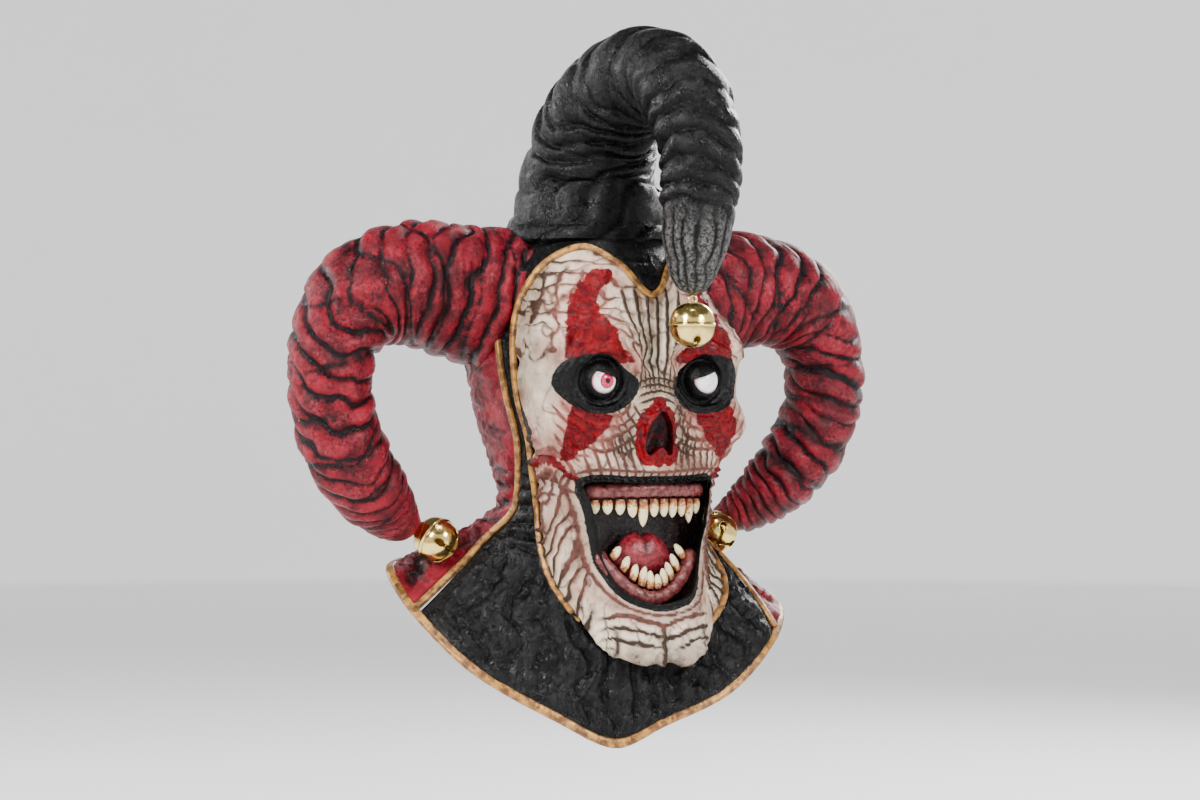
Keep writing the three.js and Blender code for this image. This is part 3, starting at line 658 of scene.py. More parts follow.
def to_object(name: str, bm: bmesh.types.BMesh, material: bpy.types.Material) -> bpy.types.Object:
    """Turns a bmesh into a smooth-shaded object with one material.

    Args:
        name: Name of the object.
        bm: The mesh, which is freed.
        material: Its material.

    Returns:
        The object.
    """
    mesh = bpy.data.meshes.new(name)
    bm.to_mesh(mesh)
    bm.free()
    mesh.shade_smooth()
    mesh.materials.append(material)
    obj = bpy.data.objects.new(name, mesh)
    bpy.context.scene.collection.objects.link(obj)
    return obj


@dataclass
class Piece:
    """A finished mesh and what it stands for.

    Args:
        name: Name of the object.
        mesh: Its mesh.
        material: Its material.
        slot: Material slot of the record; not used.
        nodes: CAD nodes that it replaces.
        padded: How full it is stuffed, or None; not used.
        wall: Wall in mm that is put behind an open sheet.
    """

    name: str
    mesh: bmesh.types.BMesh
    material: bpy.types.Material
    slot: str
    nodes: tuple[str, ...] = ()
    padded: float | None = None
    wall: float = 0.0

    def place(self) -> None:
        """Puts the piece into the scene and on its body."""
        faces = len(self.mesh.faces)
        obj = to_object(self.name, self.mesh, self.material)
        if self.wall:
            thicken(obj, self.wall)
        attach(obj, "root")
        if self.nodes:
            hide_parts(*self.nodes)
        LOG.info("%s: %d faces", self.name, faces)


def face_outline() -> Array:
    """The face's edge, in mm of turn and of drop."""
    half = [(turn * TURN_MM, down * FACE_HEIGHT) for turn, down in FACE_EDGE]
    return both_sides(half)


Colour = tuple[float, float, float]


class Nodes:
    """A material with short calls for the nodes that the finishes use."""

    def __init__(self, name: str) -> None:
        """Makes an empty material with a shader and object coordinates."""
        self.material = bpy.data.materials.new(name)
        self.material.use_nodes = True
        self.tree = self.material.node_tree
        self.shader = self.tree.nodes["Principled BSDF"]
        self.place = self.tree.nodes.new("ShaderNodeTexCoord").outputs["Object"]

    def node(self, kind: str, **inputs: object) -> bpy.types.Node:
        """Adds a node and sets or links its inputs by name, with _ for a space.

        Args:
            kind: Type of the node.
            inputs: Values or sockets by input name.

        Returns:
            The node.
        """
        made = self.tree.nodes.new(kind)
        for key, value in inputs.items():
            self.feed(made.inputs[key.replace("_", " ")], value)
        return made

    def feed(self, socket: bpy.types.NodeSocket, value: object) -> None:
        """Links a socket to it, or sets it.

        Args:
            socket: The input.
            value: A socket, a colour or a number.
        """
        if isinstance(value, bpy.types.NodeSocket):
            self.tree.links.new(value, socket)
        elif socket.type == "RGBA":
            socket.default_value = (*value, 1.0)
        else:
            socket.default_value = value

    def paint(self, name: str) -> bpy.types.NodeSocket:
        """A painted amount of the mesh.

        Args:
            name: Name of the paint.

        Returns:
            Its socket.
        """
        made = self.tree.nodes.new("ShaderNodeAttribute")
        made.attribute_name = name
        return made.outputs["Fac"]

    def noise(self, size: float, detail: float = 4.0, rough: float = 0.55,
              distort: float = 0.0) -> bpy.types.NodeSocket:
        """Noise with lumps of about a size in mm.

        Args:
            size: Size of a lump in mm.
            detail: How many finer layers.
            rough: How strong they are.
            distort: How far the noise is bent.

        Returns:
            Its socket, from 0 to 1.
        """
        made = self.node("ShaderNodeTexNoise", Vector=self.place, Scale=1000.0 / size, Detail=detail,
                         Roughness=rough, Distortion=distort)
        return made.outputs[0]

    def cells(self, size: float, feature: str = "F1") -> bpy.types.NodeSocket:
        """Distance in a field of cells of about a size in mm.

        Args:
            size: Size of a cell in mm.
            feature: Which distance is taken.

        Returns:
            Its socket.
        """
        made = self.tree.nodes.new("ShaderNodeTexVoronoi")
        made.feature = feature
        self.feed(made.inputs["Vector"], self.place)
        self.feed(made.inputs["Scale"], 1000.0 / size)
        return made.outputs["Distance"]

    def stretch(self, value: object, low: float, high: float, to_low: float = 0.0,
                to_high: float = 1.0) -> bpy.types.NodeSocket:
        """Maps a range smoothly onto another.

        Args:
            value: What is mapped.
            low: Start of its range.
            high: End of its range.
            to_low: Start of the new range.
            to_high: End of the new range.

        Returns:
            Its socket.
        """
        made = self.tree.nodes.new("ShaderNodeMapRange")
        made.interpolation_type = "SMOOTHSTEP"
        for socket, v in zip(made.inputs, (value, low, high, to_low, to_high)):
            self.feed(socket, v)
        return made.outputs[0]

    def maths(self, operation: str, a: object, b: object = 0.0) -> bpy.types.NodeSocket:
        """A sum of two values, kept from 0 to 1.

        Args:
            operation: Name of the sum, product or comparison.
            a: First value.
            b: Second value.

        Returns:
            Its socket.
        """
        made = self.tree.nodes.new("ShaderNodeMath")
        made.operation = operation
        made.use_clamp = True
        self.feed(made.inputs[0], a)
        self.feed(made.inputs[1], b)
        return made.outputs[0]

    def times(self, a: object, b: object) -> bpy.types.NodeSocket:
        """Product."""
        return self.maths("MULTIPLY", a, b)

    def mix(self, amount: object, a: object, b: object) -> bpy.types.NodeSocket:
        """Mixes two colours.

        Args:
            amount: Share of the second.
            a: First colour.
            b: Second colour.

        Returns:
            Its socket.
        """
        made = self.tree.nodes.new("ShaderNodeMix")
        made.data_type = "RGBA"
        self.feed(made.inputs["Factor"], amount)
        self.feed(made.inputs[6], a)
        self.feed(made.inputs[7], b)
        return made.outputs[2]

    def blend(self, amount: object, a: object, b: object) -> bpy.types.NodeSocket:
        """Mixes two values.

        Args:
            amount: Share of the second.
            a: First value.
            b: Second value.

        Returns:
            Its socket.
        """
        made = self.tree.nodes.new("ShaderNodeMix")
        self.feed(made.inputs["Factor"], amount)
        self.feed(made.inputs[2], a)
        self.feed(made.inputs[3], b)
        return made.outputs[0]

    def bump(self, *layers: tuple[object, float]) -> None:
        """Bumps from heights, each with its depth in mm.

        Args:
            layers: Heights with their depths, the lowest first.
        """
        normal = None
        for height, deep in layers:
            made = self.node("ShaderNodeBump", Height=height, Strength=1.0, Distance=deep * MM)
            if normal is not None:
                self.feed(made.inputs["Normal"], normal)
            normal = made.outputs[0]
        self.feed(self.shader.inputs["Normal"], normal)

    def finish(self, **sockets: object) -> bpy.types.Material:
        """Sets the shader's own sockets and returns the material.

        Args:
            sockets: Values or sockets by input name, with _ for a space.

        Returns:
            The material.
        """
        for key, value in sockets.items():
            self.feed(self.shader.inputs[key.replace("_", " ")], value)
        return self.material


@dataclass(frozen=True)
class SkinFinish:
    """Painted bone-coloured latex with brown wash and painted shade in its creases, blood-red and black
    make-up.
    """

    light: Colour = (0.70, 0.585, 0.455)
    warm: Colour = (0.44, 0.29, 0.20)
    wash_and_shade: Colour = (0.028, 0.016, 0.010)
    red: Colour = (0.20, 0.0, 0.003)
    deep_red: Colour = (0.045, 0.0, 0.002)
    black: Colour = (0.002, 0.002, 0.002)

    def material(self) -> bpy.types.Material:
        """The finish as nodes.

        Returns:
            The material.
        """
        n = Nodes("bone_latex")
        cloud, fine = n.noise(26.0, 5.0), n.noise(3.2, 5.0, 0.65)
        skin = n.mix(n.stretch(cloud, 0.35, 0.72), self.light, self.warm)
        skin = n.mix(n.times(n.stretch(fine, 0.5, 0.75), 0.35), skin, self.warm)
        # Brown wash with painted shade: dark where the cavity mask lies, plus random darker patches.
        wash_and_shade = n.maths("ADD", n.times(n.paint("cavity"), n.stretch(n.noise(7.0), 0.2, 0.6, 0.95, 1.8)),
                       n.times(n.stretch(n.noise(12.0, 6.0, 0.7), 0.54, 0.72), 0.42))
        skin = n.mix(wash_and_shade, skin, self.wash_and_shade)
        specks = n.times(n.stretch(n.noise(2.3, 2.0), 0.69, 0.73), n.stretch(n.noise(30.0), 0.42, 0.62))
        skin = n.mix(n.times(specks, 0.85), skin, (0.06, 0.012, 0.01))
        blush = n.times(n.paint("blush"), n.stretch(n.noise(5.0), 0.3, 0.7, 0.3, 1.0))
        skin = n.mix(blush, skin, (0.42, 0.12, 0.1))
        ragged = n.stretch(n.noise(4.0, 5.0, 0.6), 0.25, 0.75, -0.28, 0.28)
        red = n.stretch(n.maths("ADD", n.paint("red"), ragged), 0.42, 0.6)
        blood = n.mix(n.stretch(n.noise(6.0, 5.0, 0.6, 1.2), 0.4, 0.66), self.red, self.deep_red)
        # Painted shade: the red paint is darker in the creases.
        blood = n.mix(n.times(n.paint("cavity"), 0.7), blood, self.deep_red)
        skin = n.mix(red, skin, blood)
        black = n.stretch(n.maths("ADD", n.paint("black"), n.times(ragged, 0.6)), 0.42, 0.58)
        skin = n.mix(black, skin, self.black)
        gloss = n.maths("MAXIMUM", red, black)
        rough = n.blend(gloss, n.stretch(fine, 0.3, 0.7, 0.38, 0.56),
                        n.stretch(n.noise(4.0), 0.35, 0.65, 0.12, 0.3))
        n.bump((n.noise(0.9, 3.0), 0.12), (n.noise(3.4, 4.0, 0.6, 0.6), 0.45),
               (n.times(n.noise(2.2, 3.0, 0.6, 1.5), gloss), 0.5))
        return n.finish(Base_Color=skin, Roughness=rough, Specular_IOR_Level=0.14)


@dataclass(frozen=True)
class FoldedFinish:
    """Painted latex that folds: painted shade in its valleys, a mottled main colour, and dry-brushed paint
    with painted highlights on its ridges.
    """

    name: str
    main: Colour
    second: Colour
    valley: Colour
    brushed_highlight: Colour
    rough: tuple[float, float]
    stipple: float = 0.6
    brushed_highlight_amount: float = 0.5
    grain: float = 1.3
    shine: float = 0.16

    def material(self) -> bpy.types.Material:
        """The finish as nodes.

        Returns:
            The material.
        """
        n = Nodes(self.name)
        colour = n.mix(n.stretch(n.noise(18.0, 5.0), 0.35, 0.65), self.main, self.second)
        sponge = n.times(n.stretch(n.noise(2.2, 5.0, 0.75), 0.49, 0.6),
                         n.stretch(n.noise(24.0, 3.0), 0.38, 0.6))
        colour = n.mix(n.times(sponge, self.stipple), colour, self.valley)
        # Ridges get the pale colour: dry-brushed paint and painted highlight.
        ridge = n.times(n.paint("ridge"), n.stretch(n.noise(3.0, 6.0, 0.75), 0.42, 0.68))
        patchy = n.stretch(n.noise(30.0, 3.0), 0.35, 0.62, 0.25, 1.0)
        colour = n.mix(n.times(n.times(ridge, patchy), self.brushed_highlight_amount), colour, self.brushed_highlight)
        # Streaks on the crests get the same pale colour, partly painted highlight.
        streak = n.times(n.paint("streak"), n.stretch(n.noise(2.4, 5.0, 0.75), 0.38, 0.62))
        colour = n.mix(streak, colour, self.brushed_highlight)
        # Painted shade in the valleys.
        uneven = n.stretch(n.noise(5.0), 0.3, 0.7, -0.15, 0.15)
        dark = n.stretch(n.maths("ADD", n.paint("cavity"), uneven), 0.08, 0.55)
        colour = n.mix(dark, colour, self.valley)
        rough = n.stretch(n.noise(9.0, 5.0, 0.65), 0.32, 0.68, *self.rough)
        crackle = n.stretch(n.cells(self.grain, "DISTANCE_TO_EDGE"), 0.0, 0.22)
        n.bump((crackle, 0.16), (n.noise(5.0, 5.0, 0.6, 0.7), 0.5))
        return n.finish(Base_Color=colour, Roughness=rough, Specular_IOR_Level=self.shine)


@dataclass(frozen=True)
class GoldFinish:
    """Ochre gold paint, worn to brown, with painted shade between its ridges and under its edges."""

    light: Colour = (0.42, 0.20, 0.045)
    dark: Colour = (0.11, 0.045, 0.012)
    line: Colour = (0.012, 0.005, 0.003)

    def material(self) -> bpy.types.Material:
        """The finish as nodes.

        Returns:
            The material.
        """
        n = Nodes("gold_paint")
        colour = n.mix(n.stretch(n.noise(7.0, 6.0, 0.7), 0.4, 0.6), self.light, self.dark)
        worn = n.stretch(n.noise(2.6, 5.0, 0.7), 0.6, 0.7)
        colour = n.mix(n.times(worn, 0.7), colour, self.line)
        # Painted shade in the grooves and on the underside.
        colour = n.mix(n.stretch(n.paint("cavity"), 0.25, 0.8), colour, self.line)
        n.bump((n.noise(1.2, 4.0, 0.65), 0.18), (n.noise(4.5, 4.0), 0.4))
        return n.finish(Base_Color=colour, Metallic=0.35,
                        Roughness=n.stretch(n.noise(5.0), 0.3, 0.7, 0.28, 0.5))


@dataclass(frozen=True)
class BrassFinish:
    """Polished brass with faint patina in its seams."""

    bright: Colour = (0.80, 0.60, 0.20)
    dull: Colour = (0.42, 0.28, 0.08)

    def material(self) -> bpy.types.Material:
        """The finish as nodes.

        Returns:
            The material.
        """
        n = Nodes("brass")
        colour = n.mix(n.times(n.stretch(n.noise(6.0, 5.0, 0.65), 0.5, 0.75), 0.5), self.bright, self.dull)
        colour = n.mix(n.paint("cavity"), colour, (0.06, 0.035, 0.012))
        rough = n.stretch(n.noise(4.0, 5.0, 0.7), 0.35, 0.7, 0.1, 0.26)
        n.bump((n.noise(8.0, 3.0), 0.15), (n.noise(0.8, 3.0), 0.02))
        return n.finish(Base_Color=colour, Metallic=1.0, Roughness=rough)


@dataclass(frozen=True)
class WetFinish:
    """Moist mouth latex, mottled and glossy, with painted shade in its hollows."""

    name: str
    main: Colour
    second: Colour
    valley: Colour

    def material(self) -> bpy.types.Material:
        """The finish as nodes.

        Returns:
            The material.
        """
        n = Nodes(self.name)
        colour = n.mix(n.stretch(n.noise(4.0, 5.0, 0.6), 0.4, 0.62), self.main, self.second)
        # Painted shade where the cavity mask lies.
        colour = n.mix(n.paint("cavity"), colour, self.valley)
        n.bump((n.noise(1.4, 4.0, 0.6), 0.25), (n.noise(4.0, 4.0), 0.5))
        return n.finish(Base_Color=colour, Roughness=n.stretch(n.noise(3.0), 0.35, 0.65, 0.2, 0.42),
                        Specular_IOR_Level=0.35)


@dataclass(frozen=True)
class ToothFinish:
    """Ivory teeth with brown roots and red stains."""

    def material(self) -> bpy.types.Material:
        """The finish as nodes.

        Returns:
            The material.
        """
        n = Nodes("tooth")
        root = n.maths("ADD", n.paint("root"), n.stretch(n.noise(2.4, 5.0, 0.7), 0.3, 0.7, -0.25, 0.25))
        colour = n.mix(n.stretch(root, 0.3, 0.62), (0.70, 0.58, 0.34), (0.36, 0.14, 0.03))
        colour = n.mix(n.stretch(root, 0.66, 0.9), colour, (0.09, 0.02, 0.012))
        stain = n.stretch(n.noise(3.6, 4.0, 0.6), 0.62, 0.68)
        colour = n.mix(n.times(stain, 0.85), colour, (0.30, 0.006, 0.008))
        n.bump((n.noise(1.3, 3.0), 0.12))
        return n.finish(Base_Color=colour, Roughness=0.24)


@dataclass(frozen=True)
class EyeFinish:
    """A glossy eye, with a red iris or clouded over."""

    name: str
    clouded: bool

    def material(self) -> bpy.types.Material:
        """The finish as nodes.

        Returns:
            The material.
        """
        n = Nodes(self.name)
        veins = n.times(n.stretch(n.cells(4.2, "DISTANCE_TO_EDGE"), 0.0, 0.035, 1.0, 0.0),
                        n.stretch(n.noise(5.0), 0.45, 0.6))
        white = n.mix(n.times(veins, 0.5 if self.clouded else 0.75), (0.80, 0.77, 0.76), (0.55, 0.06, 0.09))
        away = n.paint("away")
        if self.clouded:
            cloud = n.times(n.stretch(away, 0.34, 0.22), n.stretch(n.noise(3.0, 4.0), 0.35, 0.65))
            white = n.mix(n.times(cloud, 0.6), white, (0.38, 0.42, 0.43))
            # Redder and darker towards the ball's edge: partly painted shade under the lids.
            rim = n.stretch(away, 0.66, 0.95)
            return n.finish(Base_Color=n.mix(n.times(rim, 0.8), white, (0.35, 0.08, 0.1)), Roughness=0.08)
        iris = n.mix(n.stretch(n.noise(1.1, 3.0), 0.35, 0.65), (0.62, 0.02, 0.09), (0.30, 0.0, 0.03))
        iris = n.mix(n.stretch(away, 0.35, 0.42), iris, (0.10, 0.0, 0.015))
        colour = n.mix(n.stretch(away, 0.46, 0.43), white, iris)
        colour = n.mix(n.stretch(away, 0.17, 0.14), colour, (0.015, 0.0, 0.004))
        # Redder and darker towards the ball's edge: partly painted shade under the lids.
        colour = n.mix(n.times(n.stretch(away, 0.66, 0.95), 0.8), colour, (0.4, 0.05, 0.09))
        return n.finish(Base_Color=colour, Roughness=0.06)


# x, z of the paint's edges on the wearer's left half; the other half mirrors them
RED_BROW = ((73, -101), (69, -82), (62, -65), (56, -54), (47, -43), (39, -37), (28, -38), (31, -46),
            (39, -52), (42, -61), (40, -72), (34, -82), (28, -93), (20, -104), (30, -106), (47, -103),
            (63, -102))
RED_CHEEK = ((67, -135), (59, -132), (37, -141), (37, -147), (47, -160), (56, -167), (64, -175), (69, -170),
             (72, -152))
BLACK_EYE = ((15, -118), (24, -109), (40, -99), (58, -99), (72, -104), (78, -112), (76, -124), (68, -133),
             (56, -139), (40, -141), (26, -137), (17, -128))
SMILE = ((53, -193), (61, -185), (67, -179), (75, -171))
BROW_LINE = ((8, -104), (20, -98), (35, -88), (50, -83), (65, -88), (78, -104))
MOUTH = ((0, -191), (26, -190), (44, -189), (54, -192), (51, -206), (47, -220), (43, -233), (40, -246),
         (35, -258), (30, -266), (23, -272), (12, -276), (0, -278))
NOSE = ((0, -132), (5, -137), (12, -145), (14, -158), (13, -171), (8, -175), (4, -171), (0, -176))
NOSTRIL = ((0, -139), (5, -143), (9.5, -150), (11.5, -160), (11, -168), (7.5, -171), (3.5, -168), (0, -165))


def both_sides(half: Rows) -> Array:
    """A closed outline from its half, mirrored about the middle."""
    whole = list(half) + [(-x, z) for x, z in reversed(half) if abs(x) > 0.01]
    return smooth_loop(whole, len(whole) * 5)


FACE_OUTLINE = face_outline()


@dataclass(frozen=True)
class FacePlaces:
    """Places on the face, with what its folds and its paint follow.

    Args:
        points: The places in mm.
        x: Their first coordinates.
        h: Their heights.
        a: Distance from the middle, seen from the front.
        w: Distance from the middle, along the skin.
        wob: Noise that bends the folds.
        slow: Noise of larger lumps.
        ring: Distance from the middle of the nearer eye.
        lip: Distance from the mouth's edge.
        nose: Distance from the edge of the nose's hollow.
        smile: Distance from the line that lengthens the mouth.
    """

    points: Array
    x: Array
    h: Array
    a: Array
    w: Array
    wob: Array
    slow: Array
    ring: Array
    lip: Array
    nose: Array
    smile: Array


@dataclass
class FaceMask:
    """The wrinkled face with its holes for mouth, nose and eyes.

    Args:
        seed: Seed of the skin's uneven folds.
        skin: Finish of the skin.
    """

    seed: int = 11
    skin: SkinFinish = field(default_factory=SkinFinish)
    columns: int = 268
    rows: int = 352

    def __post_init__(self) -> None:
        """Rounds the outlines of the holes and of the paint."""
        self.noise = Noise(self.seed)
        self.mouth = both_sides(MOUTH)
        self.nose = both_sides(NOSE)
        self.nostril = both_sides(NOSTRIL)
        self.red = [smooth_loop(RED_BROW, 90), smooth_loop(RED_CHEEK, 60)]
        self.black = smooth_loop(BLACK_EYE, 70)
        self.smile = np.array(SMILE, float)
        self.brow = np.array(BROW_LINE, float)

    def eye_ring(self, x: Array, z: Array) -> Array:
        """Distance from the middle of the nearer eye, stretched so that its hole is a circle."""
        a, h = np.abs(x) - EYE_ACROSS, z - EYE_Z
        return np.hypot(a * 0.86, h + 0.06 * a)

    def eye_slit(self, x: Array, z: Array) -> Array:
        """Distance from the opening between the lids, negative inside it, cut off above by a frowning lid."""
        lid = EYE_Z + 4.6 + 0.34 * (np.abs(x) - EYE_ACROSS)
        return np.maximum(self.eye_ring(x, z) - EYE_HOLE, (z - lid) * 0.94)

    def keep(self, turn: Array, z: Array) -> Array:
        """Distance to the nearest edge of the skin, negative in its holes and outside it.

        Args:
            turn: Degrees from the middle.
            z: Heights in mm.

        Returns:
            Distances in mm.
        """
        p = face_base(turn, z)
        x, h = p[:, 0], p[:, 2]
        holes = np.minimum(signed_distance(self.mouth, x, h), signed_distance(self.nostril, x, h))
        holes = np.minimum(holes, self.eye_slit(x, h))
        down = (FACE_TOP - z) / FACE_HEIGHT
        edge = signed_distance(FACE_OUTLINE, turn * TURN_MM, down * FACE_HEIGHT)
        return np.minimum(holes, -edge - TRIM_HALF)

    def relief(self, turn: Array, z: Array, points: Array) -> Relief:
        """Folds and paint of the skin.

        Args:
            turn: Degrees from the middle.
            z: Heights on the cowl in mm.
            points: The places themselves.

        Returns:
            The relief.
        """
        x, h, n = points[:, 0], points[:, 2], self.noise
        a = np.abs(x)
        p = FacePlaces(
            points=points, x=x, h=h, a=a, w=np.abs(turn) * TURN_MM,
            wob=n.rough(points, 17.0), slow=n.rough(points + 300.0, 42.0), ring=self.eye_ring(x, h),
            lip=signed_distance(self.mouth, x, h), nose=signed_distance(self.nose, x, h),
            smile=distance_to_line(self.smile, a, h),
        )
        r = Relief(0.8 * p.slow + 0.35 * n.rough(points + 77.0, 8.0, 2))
        frown = self.forehead(r, p)
        self.eyes(r, p, frown)
        self.nose_and_lip(r, p)
        self.cheeks_and_chin(r, p)
        self.veins(r, p)
        self.lips(r, p)
        self.make_up(r, p)
        self.wash_and_shade(r, p)
        return r

    def forehead(self, r: Relief, p: FacePlaces) -> Array:
        """Adds the frown and the forehead's folds.

        Args:
            r: The relief so far.
            p: Places on the face.

        Returns:
            How strong the frown is at each place.
        """
        x, h, a, wob, slow = p.x, p.h, p.a, p.wob, p.slow
        off_eye = smoothstep(p.ring, 17.0, 25.0)
        fan = 4.0 + 5.0 * smoothstep(h, -112.0, -58.0)
        narrow = 1.0 - smoothstep(a, 12.0 + 10 * smoothstep(h, -100, -60), 34.0)
        frown = band(h, -116.0, -58.0, 16.0) * narrow * off_eye
        r.fold(x / fan + 0.5 + 0.18 * wob, 3.0, frown, 0.95)
        arch = h - 0.16 * a + 5.0 * wob
        forehead = band(h, -74.0, -26.0, 14.0) * (1.0 - 0.5 * frown)
        r.fold(arch / 10.0, 2.1, forehead * (0.7 + 0.3 * slow), 0.7, 0.9)
        temple = band(h, -98.0, -40.0, 12.0) * smoothstep(a, 24.0, 44.0)
        r.fold((a + 0.5 * h + 6 * wob) / 12.0, 1.5, temple, 0.8, 0.7)
        return frown

    def eyes(self, r: Relief, p: FacePlaces, frown: Array) -> None:
        """Adds the brows, the lids and the folds round the eyes.

        Args:
            r: The relief so far.
            p: Places on the face.
            frown: How strong the frown is at each place.
        """
        points, h, a, wob, ring = p.points, p.h, p.a, p.wob, p.ring
        brow = distance_to_line(self.brow, a, h)
        r.mound(np.exp(-((brow / 6.5) ** 2)), 6.0)
        r.groove(h - np.interp(a, self.brow[:, 0], self.brow[:, 1] + 9.0) + 1.5 * wob, 1.5, 1.2,
                 band(a, 16.0, 66.0, 9.0), 0.6)
        lid = np.exp(-(((ring - EYE_HOLE - 2.0) / 5.0) ** 2))
        hood = smoothstep(h - EYE_Z - 0.25 * (a - EYE_ACROSS), -4.0, 9.0)
        r.mound(lid, 4.6)
        r.mound(lid * hood, 2.6)
        off = np.hypot(a - EYE_ACROSS, h - EYE_Z)
        wrap = points[:, 1] - (EYE_Y - np.sqrt(np.clip(LID_RADIUS**2 - off * off, 0.0, None)))
        lids = 1.0 - smoothstep(off, LID_RADIUS - 2.6, LID_RADIUS + 3.0)
        near = 1.0 - smoothstep(off, LID_RADIUS + 2.0, LID_RADIUS + 8.0)
        r.forward = lids * wrap
        r.height = r.height * (1.0 - lids * 0.92) * (1.0 - 0.3 * near)
        rings = band(ring, 15.5, 27.0, 4.0) * (1.0 - frown)
        r.fold(ring / 4.0 + 0.25 * wob, 1.1, rings, 0.7, 0.6)
        bags = band(h, -168.0, -136.0, 8.0) * band(a, 22.0, 74.0, 9.0)
        r.fold((np.hypot(a - EYE_ACROSS, (h - EYE_Z) * 0.9) + 2.2 * wob) / 6.4, 2.4, bags, 0.95, 1.0)

    def nose_and_lip(self, r: Relief, p: FacePlaces) -> None:
        """Adds the folds on and beside the nose, and above the lip.

        Args:
            r: The relief so far.
            p: Places on the face.
        """
        x, h, a, wob, nose = p.x, p.h, p.a, p.wob, p.nose
        bridge = band(h, -138.0, -118.0, 8.0) * (1.0 - smoothstep(a, 9.0, 20.0))
        r.fold((h + 2.0 * wob + 0.02 * x * x) / 5.2, 2.2, bridge, 0.95, 1.0)
        r.mound(np.exp(-((nose / 4.2) ** 2)) * smoothstep(nose, -3.0, 1.0), 2.6)
        side_nose = band(h, -176.0, -138.0, 8.0) * band(a, 16.0, 30.0, 6.0)
        r.fold((a - 0.35 * (h + 150) + 2 * wob) / 6.0, 2.2, side_nose, 0.95, 1.0)

        lipward = band(h, -187.0, -160.0, 7.0) * (1.0 - smoothstep(a, 50.0, 62.0))
        lipward = lipward * smoothstep(nose, 4.0, 9.0)
        spread = x * (1.0 - 0.0045 * (h + 187.0))
        r.fold(spread / 6.2 + 0.16 * wob, 2.5, lipward, 0.9, 1.0)

    def cheeks_and_chin(self, r: Relief, p: FacePlaces) -> None:
        """Adds the folds of the cheeks and the chin.

        Args:
            r: The relief so far.
            p: Places on the face.
        """
        x, h, a, w, wob, slow, lip = p.x, p.h, p.a, p.w, p.wob, p.slow, p.lip
        cheek = smoothstep(lip, 4.5, 9.0) * smoothstep(w, 46.0, 56.0) * band(h, -302.0, -186.0, 9.0)
        r.fold((w + 0.22 * (h + 240.0) + 4.5 * wob) / 8.2, 4.0, cheek, 0.9, 1.0)
        r.fold((w - 0.1 * (h + 240.0) + 5.0 * slow) / 4.6, 1.5, cheek * smoothstep(wob, -0.5, 0.6), 0.9, 0.8)
        high_cheek = smoothstep(a, 52.0, 62.0) * band(h, -196.0, -168.0, 8.0)
        r.fold((0.7 * a - 0.7 * h + 3 * wob) / 7.4, 2.6, high_cheek, 0.95, 1.0)
        chin = band(h, -306.0, -284.0, 7.0) * (1.0 - smoothstep(a, 34.0, 46.0)) * smoothstep(lip, 5.0, 9.0)
        wave = h + 3.6 * np.cos(x / 9.5) + 3.0 * wob
        r.fold(wave / 9.0, 2.8, chin, 0.95, 1.0)
        r.groove(x + 2.6 - 1.2 * wob, 2.4, 4.2, smoothstep(-h, 287.0, 297.0), 0.9)
        r.groove(a - 33.0 - 1.5 * wob, 2.2, 2.0, smoothstep(-h, 290.0, 300.0), 0.6)

    def veins(self, r: Relief, p: FacePlaces) -> None:
        """Cuts the fine cracks of the open skin and paints shade into them.

        Args:
            r: The relief so far.
            p: Places on the face.
        """
        points, ring, lip = p.points, p.ring, p.lip
        for size, deep, dark, shift in ((22.0, 0.8, 0.5, 600.0), (9.0, 0.4, 0.3, 800.0)):
            lumps = self.noise.rough(points * np.array([1.0, 1.0, 0.6]) + shift, size)
            vein = smoothstep(1.0 - 1.5 * np.abs(lumps), 0.8, 1.0)
            open_skin = smoothstep(lip, 6.0, 10.0) * smoothstep(ring, 14.0, 20.0)
            r.mound(vein * open_skin, -deep)
            r.cover("cavity", dark * vein * open_skin)

    def lips(self, r: Relief, p: FacePlaces) -> None:
        """Rolls the lips and cuts the line that lengthens the mouth.

        Args:
            r: The relief so far.
            p: Places on the face.
        """
        lip, smile = p.lip, p.smile
        r.mound(np.exp(-(((lip - 3.4) / 3.4) ** 2)), 2.9)
        r.groove(lip - 8.0, 1.3, 1.2, 1.0, 0.8)
        r.groove(smile, 2.4, 1.6, 1.0, 0.3)

    def make_up(self, r: Relief, p: FacePlaces) -> None:
        """Paints the red and black make-up.

        Args:
            r: The relief so far.
            p: Places on the face.
        """
        h, a, lip, nose, smile = p.h, p.a, p.lip, p.nose, p.smile
        for k, patch in enumerate(self.red):
            r.cover("red", 0.5 - signed_distance(patch, a, h + 0.6 * (k - 0.5)) / 5.0)
        r.cover("red", 0.52 - (nose - 3.8) / 3.0)
        # Painted shade inside the nose's hollow.
        r.cover("cavity", 0.8 * (1.0 - smoothstep(nose, -4.5, 0.5)))
        r.cover("red", 0.5 - (smile - 2.2 + 0.03 * (a - 53)) / 3.0)
        r.cover("red", 0.30 * band(lip, 4.0, 9.0, 3.0) * band(h, -296.0, -192.0, 6.0))
        r.cover("black", 0.5 - signed_distance(self.black, a, h) / 4.0)
        r.cover("black", 0.5 - (lip - 5.0) / 3.0)
        r.cover("black", 0.5 - (smile - 0.4 + 0.02 * (a - 53.0)) / 2.0)
        r.cover("blush", 0.5 * np.exp(-((signed_distance(self.red[0], a, h) / 9.0) ** 2)))
        r.cover("blush", 0.6 * np.exp(-((signed_distance(self.red[1], a, h) / 12.0) ** 2)))
        r.cover("blush", 0.22 * band(lip, 5.0, 16.0, 7.0))

